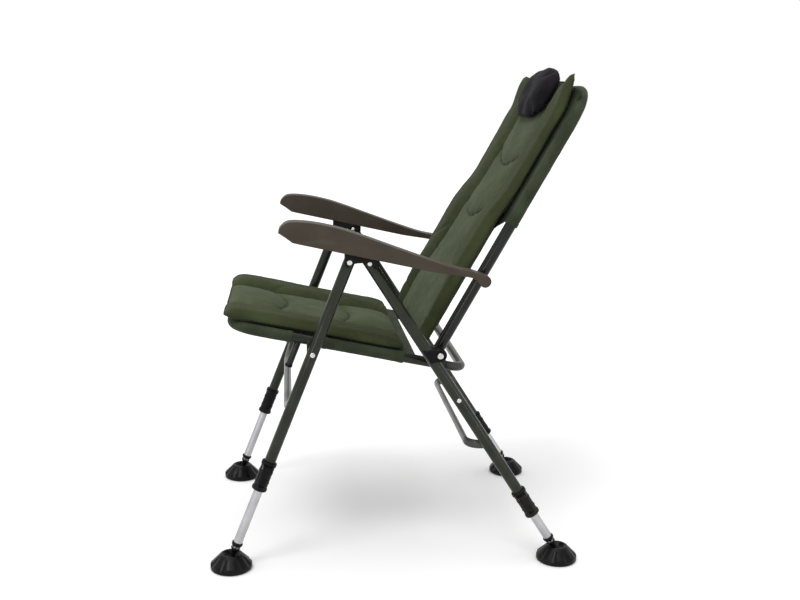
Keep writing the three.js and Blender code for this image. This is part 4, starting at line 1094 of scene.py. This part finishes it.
def turn_piece(name, start, way, profile, sides=48, angle=35):
    """A round piece turned about a line, each radius and distance drawn out from the last."""
    start, way = Vector(start), Vector(way).normalized()
    radius, distance = profile[0]
    piece = add_disc(name, start + way * distance, way, radius, sides)
    edit_whole(piece)
    for next_radius, next_distance in profile[1:]:
        bpy.ops.mesh.extrude_region_move(TRANSFORM_OT_translate={"value": way * (next_distance - distance)})
        share = next_radius / radius
        bpy.ops.transform.resize(value=(share, share, share), center_override=start + way * next_distance)
        radius, distance = next_radius, next_distance
    end_edit()
    face_outwards(piece)
    smooth_shade(piece, angle)
    return piece


saddle_inner_x = leg_x - 0.0175
saddle_outer_x = leg_x + 0.0151
saddle_half = 0.0165
rearward = Vector((0, rear_leg_up.z, -rear_leg_up.y))
saddle_middle = on_line(rear_ball, rear_leg_up, hinge.z)
saddle_angle = math.degrees(math.atan2(rearward.z, rearward.y))
saddle_low, saddle_high = [
    saddle_middle + rear_leg_up * (saddle_half * way) - rearward * 0.008 for way in (-1, 1)
]
saddle_outline = [saddle_low, *arc(hinge, 0.015, saddle_angle - 75, saddle_angle + 75, 20), saddle_high]
boss_shape = [
    (0.0143, -0.003), (0.0143, 0.0006), (0.0136, 0.0014), (0.0126, 0.0018), (0.0098, 0.0018),
    (0.0092, 0.0012),
]
for side, sign in sides:
    width = sign * (saddle_outer_x - saddle_inner_x)
    saddle = cut_plate(f"saddle_block_{side}", saddle_outline, sign * saddle_inner_x, width, 0.0022, 4)
    finish_piece(saddle, black_plastic, "rear_frame", f"hinge_saddle_{side}")
    boss_profile = [(radius, saddle_outer_x + distance) for radius, distance in boss_shape]
    boss = turn_piece(f"saddle_boss_{side}", hinge, (sign, 0, 0), boss_profile)
    finish_piece(boss, black_plastic, "rear_frame")

# Bolts and rivets: turned steel in bright zinc plate, with a dull bloom and fine turning marks.
# Each is closed by a low dome on both sides of the tube it holds.
zinc = Finish("bright_zinc", "bright_steel", metallic=1.0)
bloom = zinc.noise(60, 4)
turned_marks = zinc.noise(900, 2, 0.7, zinc.stretched((0.2, 1, 1)))
zinc.put("Base Color", zinc.cloud((214, 212, 208), (176, 174, 172), bloom, 0.35))
zinc.put("Roughness", 0.2 + bloom * 0.14)
zinc.relief(turned_marks, 0.0001, 0.25)


def add_dome(name, place, way, radius, height, *nodes):
    """A snap head: a rolled edge and a low dome."""
    profile = [(radius * 0.95, -0.0008), (radius, 0), (radius, height * 0.18)]
    for share in (0.35, 0.6, 0.8, 0.93, 1.0):
        profile.append((radius * math.sqrt(max(1 - share * share, 0.012)), height * (0.18 + 0.82 * share)))
    head = turn_piece(name, place, way, profile, 32, 60)
    finish_piece(head, zinc, "rear_frame", *nodes)


bracket_reach = leg_radius + 0.0028
heads = [
    ("stop_rivet", on_line(rear_ball, rear_leg_up, 0.383), leg_radius + 0.0002, 0.005, 0.002),
    ("bracket_rivet", rear_pin, bracket_reach + 0.0002, 0.005, 0.002),
    ("bracket_bolt", front_pin, bracket_reach + 0.0002, 0.006, 0.0028),
]
stud_shape = [
    (0.004, 0.25), (0.004, 0.2928), (0.0055, 0.2928), (0.0055, 0.2933), (0.0049, 0.2941), (0.0036, 0.2946),
    (0.0015, 0.2948),
]
bolt_shape = [
    (0.0065, 0.2276), (0.0065, 0.2316), (0.004, 0.2316), (0.004, 0.2972), (0.007, 0.2972), (0.007, 0.2988),
    (0.0066, 0.2997), (0.0056, 0.3007), (0.005, 0.301), (0.003, 0.301), (0.0026, 0.2998),
]
washer_shape = [(0.0087, 0.2608), (0.009, 0.2611), (0.009, 0.2619), (0.0087, 0.2622)]
for side, sign in sides:
    out = Vector((sign, 0, 0))
    for name, place, reach, radius, height in heads:
        middle = place + out * leg_x
        head_out = out * reach
        add_dome(f"{name}_outer_{side}", middle + head_out, out, radius, height, f"{name}_{side}")
        add_dome(f"{name}_inner_{side}", middle - head_out, -out, radius, height)
    seat_stud = turn_piece(f"seat_stud_pin_{side}", stud, out, stud_shape, 32)
    finish_piece(seat_stud, zinc, "front_frame", f"seat_stud_{side}")
    hinge_bolt = turn_piece(f"hinge_bolt_pin_{side}", hinge, out, bolt_shape, 40)
    finish_piece(hinge_bolt, zinc, "rear_frame", f"hinge_bolt_{side}")
    washer = turn_piece(f"spacer_washer_{side}", hinge, out, washer_shape, 40)
    finish_piece(washer, zinc, "back_carrier", f"back_washer_{side}")

# Armrest brackets: channels folded from 2 mm black steel, riveted over the tops of the legs. The
# armrest slides on the roof, and each cheek is arched below.


def armrest_under(y):
    return 0.68285 + bracket_slope * y


bracket_front_y = -0.125
bracket_rear_y = -0.05275
bracket_sheet = 0.002
bracket_gap = 0.0006
bracket_corner = 0.0078
arch_foot = leg_radius * 0.72
arch_rise = 0.009
front_top = Vector((0, bracket_front_y, armrest_under(bracket_front_y) - bracket_gap))
rear_top = Vector((0, bracket_rear_y, armrest_under(bracket_rear_y) - bracket_gap))
low_front = Vector((0, bracket_front_y + 0.002, front_pin.z - arch_foot))
low_rear = Vector((0, bracket_rear_y - 0.002, rear_pin.z - arch_foot))
arch = [
    low_front.lerp(low_rear, share) + Vector((0, 0, arch_rise * math.sin(math.pi * share)))
    for share in (0.2, 0.35, 0.5, 0.65, 0.8)
]
cheek_outline = [
    front_top,
    *arc(low_front + Vector((0, 0.006, 0.005)), bracket_corner, 180, 260, 6),
    *arch,
    *arc(low_rear + Vector((0, -0.006, 0.005)), bracket_corner, 280, 360, 6),
    rear_top,
]
sheet_down = Vector((0, 0, -bracket_sheet))
roof_outline = [front_top, rear_top, rear_top + sheet_down, front_top + sheet_down]
for side, sign in sides:
    for place, way in (("outer", 1), ("inner", -1)):
        cheek_x = sign * (leg_x + way * (bracket_reach - bracket_sheet))
        name = f"bracket_cheek_{place}_{side}"
        cheek = cut_plate(name, cheek_outline, cheek_x, sign * way * bracket_sheet, 0.0005)
        finish_piece(cheek, black_plastic, "rear_frame")
    roof_x = sign * (leg_x - bracket_reach)
    roof_piece = cut_plate(f"bracket_roof_{side}", roof_outline, roof_x, sign * 2 * bracket_reach, 0.0007)
    finish_piece(roof_piece, black_plastic, "rear_frame", f"armrest_bracket_{side}")

# Caps: low domes moulded in black nylon and pushed into the tops of the front legs, above the
# bracket bolts.
cap_shape = [
    (0.0105, -0.002), (0.0125, 0), (0.0125, 0.0014), (0.0117, 0.0034), (0.0097, 0.0054), (0.0065, 0.0069),
    (0.0025, 0.0075),
]
for side, sign in sides:
    cap_place = front_pin + front_leg_up * 0.0052 + Vector((sign * leg_x, 0, 0))
    cap = turn_piece(f"leg_cap_{side}", cap_place, front_leg_up, cap_shape, 40, 60)
    finish_piece(cap, black_plastic, "front_frame", f"front_leg_cap_{side}")

# Armrests: solid arms moulded in grey-brown polypropylene with a matt grain, their edges well
# rounded. Each turns on a pin bush in the back tube.
arm = Finish("armrest_plastic", "armrest_plastic", 0.2)
arm_cloud = arm.noise(16, 4)
arm_grain = arm.noise(1300, 2, 0.6)
arm_dust = arm.noise(7, 5).smooth(0.45, 0.8)
arm_rubs = arm.noise(60, 3, 0.7, arm.stretched((1, 0.12, 0.6))).smooth(0.6, 0.8)
arm_tint = arm.cloud((64, 57, 48), (73, 66, 56), arm_cloud)
arm_tint = arm.blend(arm_rubs * 0.14, arm_tint, on_screen(132, 126, 118))
arm.put("Base Color", arm.blend(arm_dust * 0.1, arm_tint, on_screen(130, 124, 114)))
arm.put("Roughness", 0.5 + arm_dust * 0.16 + arm_grain * 0.06)
arm.relief(arm_grain * 0.7 + arm_cloud * 0.3, 0.0003, 0.35)

armrest_pin = on_back(0, 0.188)
armrest_front_y = -0.26475
armrest_depth = 0.050
armrest_inner_x = leg_x - 0.015
armrest_width = 0.044
armrest_hook_radius = 0.013
armrest_length = armrest_pin.y - armrest_front_y
top_shares = [
    (0, 0.3), (0.012, 0.55), (0.0525, 0.84), (0.15, 0.99), (0.267, 1.01), (0.369, 0.93), (0.579, 0.66),
    (0.722, 0.48), (0.85, 0.355), (0.94, 0.36),
]
under_shares = [
    (0.945, 0.085), (0.905, 0.076), (0.86, 0.06), (0.80, 0.025), (0.74, 0), (0.6, 0), (0.4, 0), (0.2, 0),
    (0.1, 0),
]


def arm_point(along, depth):
    y = armrest_front_y + along * armrest_length
    return Vector((0, y, armrest_under(y) + depth * armrest_depth))


def through_points(points, steps):
    """A smooth line through the points, as a flexible batten would lie."""
    line = [points[0]]
    guides = [points[0] * 2 - points[1], *points, points[-1] * 2 - points[-2]]
    for before, start, end, after in zip(guides, guides[1:], guides[2:], guides[3:]):
        for step in range(1, steps + 1):
            t = step / steps
            line.append(
                start * (1 - 2.5 * t * t + 1.5 * t ** 3)
                + end * (0.5 * t + 2 * t * t - 1.5 * t ** 3)
                + before * (-0.5 * t + t * t - 0.5 * t ** 3)
                + after * (-0.5 * t * t + 0.5 * t ** 3)
            )
    return line


under_front = arm_point(0.075, 0)
nose = arm_point(0, 0.3)
arm_outline = [
    *through_points([arm_point(*share) for share in top_shares], 8),
    *arc(armrest_pin, armrest_hook_radius, 55, -125, 20),
    *[arm_point(*share) for share in under_shares],
    under_front + Vector((0, -0.0035, 0.0012)),
    under_front + Vector((0, -0.0070, 0.0042)),
    under_front.lerp(nose, 0.55),
    under_front.lerp(nose, 0.9),
]
for side, sign in sides:
    inner, width = sign * armrest_inner_x, sign * armrest_width
    armrest = cut_plate(f"armrest_body_{side}", arm_outline, inner, width, 0.0065, 6)
    finish_piece(armrest, arm, "armrests", f"armrest_{side}")

# Telescopic inner legs: 20 mm aluminium tube with drawing lines, a ringed black ferrule on the
# foot end, and a ball below it that the foot snaps on.
drawn = Finish("drawn_aluminium", "bare_aluminium", metallic=1.0)
drawn_lines = drawn.noise(700, 3, 0.6, drawn.stretched((1, 1, 0.02)))
drawn_bloom = drawn.noise(28, 4)
drawn_scuffs = drawn.noise(90, 3, 0.7, drawn.stretched((1, 1, 0.1))).smooth(0.62, 0.82)
drawn_tint = drawn.cloud((184, 183, 186), (170, 169, 173), drawn_bloom)
drawn.put("Base Color", drawn.blend(drawn_scuffs * 0.3, drawn_tint, on_screen(172, 171, 172)))
drawn.put("Roughness", 0.3 + drawn_lines * 0.12 + drawn_bloom * 0.08)
drawn.relief(drawn_lines, 0.0002, 0.3)

leg_ends = [
    ("front", front_ball, front_leg_up, front_clamp_start, 0.358),
    ("rear", rear_ball, rear_leg_up, rear_clamp_start, 0.350),
]
ball_radius = 0.009
ball_angles = [0.3 + 0.24 * step for step in range(9)]
ferrule_shape = [
    *[(ball_radius * math.sin(angle), ball_radius * -math.cos(angle)) for angle in ball_angles],
    (0.0055, 0.011), (0.006, 0.014), (0.007, 0.018), (0.0076, 0.0215), (0.0092, 0.024), (0.0104, 0.0255),
    (0.0106, 0.027), (0.01, 0.0285), (0.01, 0.0325), (0.0112, 0.0338), (0.0122, 0.0355), (0.0125, 0.039),
    (0.0119, 0.0405), (0.0103, 0.0412),
]
for end, ball, up, clamp_start, top in leg_ends:
    tube_shape = [(0.0094, 0.0266), (0.010, 0.0274), (0.010, top - 0.001), (0.0092, top)]
    for side, sign in sides:
        place = f"{end}_{side}"
        body = f"inner_leg_{place}"
        start = ball + Vector((sign * leg_x, 0, 0))
        inner_leg = turn_piece(f"inner_tube_{place}", start, up, tube_shape, 40)
        finish_piece(inner_leg, drawn, body, body)
        ferrule = turn_piece(f"ferrule_{place}", start, up, ferrule_shape, 48, 50)
        finish_piece(ferrule, black_plastic, body)

# Feet: wide mud feet moulded in black plastic, with eight ridges between hollowed flutes and a
# crater round the ball. Each snaps on its ball and tilts on it.
foot_plastic = moulded_plastic("foot_plastic", (8, 7, 8), (14, 13, 14), 0.26, 0.0004, 0.02)
foot_shape = [
    (0.0427, 0.0002), (0.0457, 0.003), (0.0457, 0.012), (0.045, 0.0135), (0.0425, 0.0157), (0.0329, 0.0251),
    (0.025, 0.033), (0.0225, 0.0346), (0.02, 0.0346), (0.018, 0.033), (0.0125, 0.0275),
]
foot_middle = Vector((0, front_ball.y, 0))
foot_form = turn_piece("foot_form", foot_middle, (0, 0, 1), foot_shape, 96, 30)
flute_start = Vector((0.0318, 0, 0.0406))
flute_end = Vector((0.0755, 0, 0.0215))
for flute in range(8):
    turn = Matrix.Rotation(math.radians(22.5 + 45 * flute), 3, "Z")
    start, end = turn @ flute_start + foot_middle, turn @ flute_end + foot_middle
    bpy.ops.object.select_all(action="DESELECT")
    bpy.ops.mesh.primitive_cone_add(
        vertices=48,
        radius1=0.012,
        radius2=0.0336,
        depth=(end - start).length,
        location=(start + end) / 2,
        rotation=(end - start).to_track_quat("Z", "Y").to_euler(),
    )
    cutter = bpy.context.object
    apply_modifier(foot_form, "BOOLEAN", operation="DIFFERENCE", object=cutter, solver="EXACT")
    bpy.data.objects.remove(cutter)
round_rims(foot_form, 0.0007, 2, 28)
smooth_shade(foot_form, 40)
for end, ball, *_ in leg_ends:
    for side, sign in sides:
        work_on(foot_form)
        bpy.ops.object.duplicate(linked=False)
        foot = newly(f"mud_foot_{end}_{side}")
        foot.location = (sign * leg_x, ball.y - foot_middle.y, 0)
        settle(foot)
        finish_piece(foot, foot_plastic, f"foot_{end}_{side}", f"foot_{end}_{side}")
bpy.data.objects.remove(foot_form)

# Leg clamps: ringed black nylon collars that close on the inner leg, each with a cam lever
# between two lugs on its outer side, pressed down to lock.


def add_block(name, corner, ways, spans, rim, segments=3):
    """A moulded block between spans along three directions from a corner, its rims rounded."""
    bpy.ops.object.select_all(action="DESELECT")
    bpy.ops.mesh.primitive_cube_add(size=1)
    block = newly(name)
    middle = corner.copy()
    edges = []
    for way, (low, high) in zip(ways, spans):
        middle += way * ((low + high) / 2)
        edges.append(way * (high - low))
    block.matrix_world = placed(*edges, middle)
    settle(block)
    face_outwards(block)
    round_rims(block, rim, segments)
    smooth_shade(block)
    return block


def join_pieces(name, pieces):
    bpy.ops.object.select_all(action="DESELECT")
    for piece in pieces:
        piece.select_set(True)
    bpy.context.view_layer.objects.active = pieces[0]
    bpy.ops.object.join()
    return newly(name)


collar_rings = [
    (0.011, 0), (0.0158, 0), (0.017, 0.0012), (0.017, 0.006), (0.0158, 0.0076), (0.0152, 0.01),
    (0.0152, 0.018), (0.016, 0.019), (0.016, 0.0215), (0.0152, 0.0225), (0.0152, 0.042), (0.016, 0.043),
    (0.016, 0.0455), (0.0153, 0.0465), (0.0153, 0.0575), (0.0162, 0.059), (0.017, 0.0606), (0.017, 0.0664),
    (0.016, 0.068), (0.0129, 0.068),
]
knuckle_shape = [(0.004, -0.0075), (0.0044, -0.0071), (0.0044, 0.0071), (0.004, 0.0075)]
pin_shape = [(0.0014, -0.0121), (0.002, -0.0118), (0.002, 0.0118), (0.0014, 0.0121)]
lever_hinge_out = 0.022
lever_hinge_down = 0.012
lever_reach = 0.046
lever_width = (-0.0075, 0.0075)
lug_out = (0.0114, 0.0265)
lug_half = 0.0062
lug_thickness = 0.004
rib_width = 0.0018
for end, ball, up, clamp_start, top in leg_ends:
    across = Vector((0, up.z, -up.y))
    pivot = clamp_start + clamp_length - lever_hinge_down
    tip = pivot - lever_reach
    rings = [(radius, clamp_start + distance) for radius, distance in collar_rings]
    for side, sign in sides:
        place = f"{end}_{side}"
        start = ball + Vector((sign * leg_x, 0, 0))
        ways = (Vector((sign, 0, 0)), across, up)
        collar = turn_piece(f"clamp_collar_{place}", start, up, rings, 56)
        round_rims(collar, 0.0005, 2, 40)
        smooth_shade(collar)
        lugs = []
        for low in (-0.0118, 0.0078):
            spans = (lug_out, (low, low + lug_thickness), (pivot - lug_half, pivot + lug_half))
            lugs.append(add_block(f"clamp_lug_{place}", start, ways, spans, 0.0015))
        spans = ((0.0100, 0.0172), (-0.0102, 0.0102), (tip + 0.004, pivot + 0.005))
        cheek = add_block(f"clamp_cheek_{place}", start, ways, spans, 0.0016)
        clamp = join_pieces(f"clamp_{place}", [collar, cheek, *lugs])
        finish_piece(clamp, black_plastic, f"{end}_frame", f"leg_clamp_{place}")
        lever_hinge = start + ways[0] * lever_hinge_out + up * pivot
        knuckle = turn_piece(f"lever_knuckle_{place}", lever_hinge, across, knuckle_shape, 28)
        spans = ((0.0178, 0.0218), lever_width, (tip, pivot))
        blade = add_block(f"lever_blade_{place}", start, ways, spans, 0.0012)
        spans = ((0.0178, 0.0265), lever_width, (tip, tip + 0.004))
        lip = add_block(f"lever_lip_{place}", start, ways, spans, 0.0014)
        ribs = []
        for at in (0.008, 0.0125, 0.017, 0.0215):
            spans = ((0.0210, 0.0226), (-0.0062, 0.0062), (tip + at, tip + at + rib_width))
            ribs.append(add_block(f"lever_rib_{place}", start, ways, spans, 0.0005, 2))
        lever = join_pieces(f"cam_lever_{place}", [blade, knuckle, lip, *ribs])
        finish_piece(lever, black_plastic, f"clamp_lever_{place}", f"clamp_lever_{place}")
        pin = turn_piece(f"lever_pin_{place}", lever_hinge, across, pin_shape, 20)
        finish_piece(pin, zinc, f"clamp_lever_{place}", slot="black_plastic")

# Armrest bushes: black nylon pins through the back tube, flanged on both sides of it, on which
# the armrests turn.
bush_shape = [
    (0.0076, 0.2312), (0.008, 0.2317), (0.008, 0.2352), (0.005, 0.2352), (0.005, 0.2608), (0.008, 0.2608),
    (0.008, 0.2647), (0.005, 0.2647), (0.005, 0.2985),
]
for side, sign in sides:
    bush = turn_piece(f"pin_bush_{side}", armrest_pin, (sign, 0, 0), bush_shape, 40)
    finish_piece(bush, black_plastic, "armrest_bushes", f"armrest_bush_{side}")
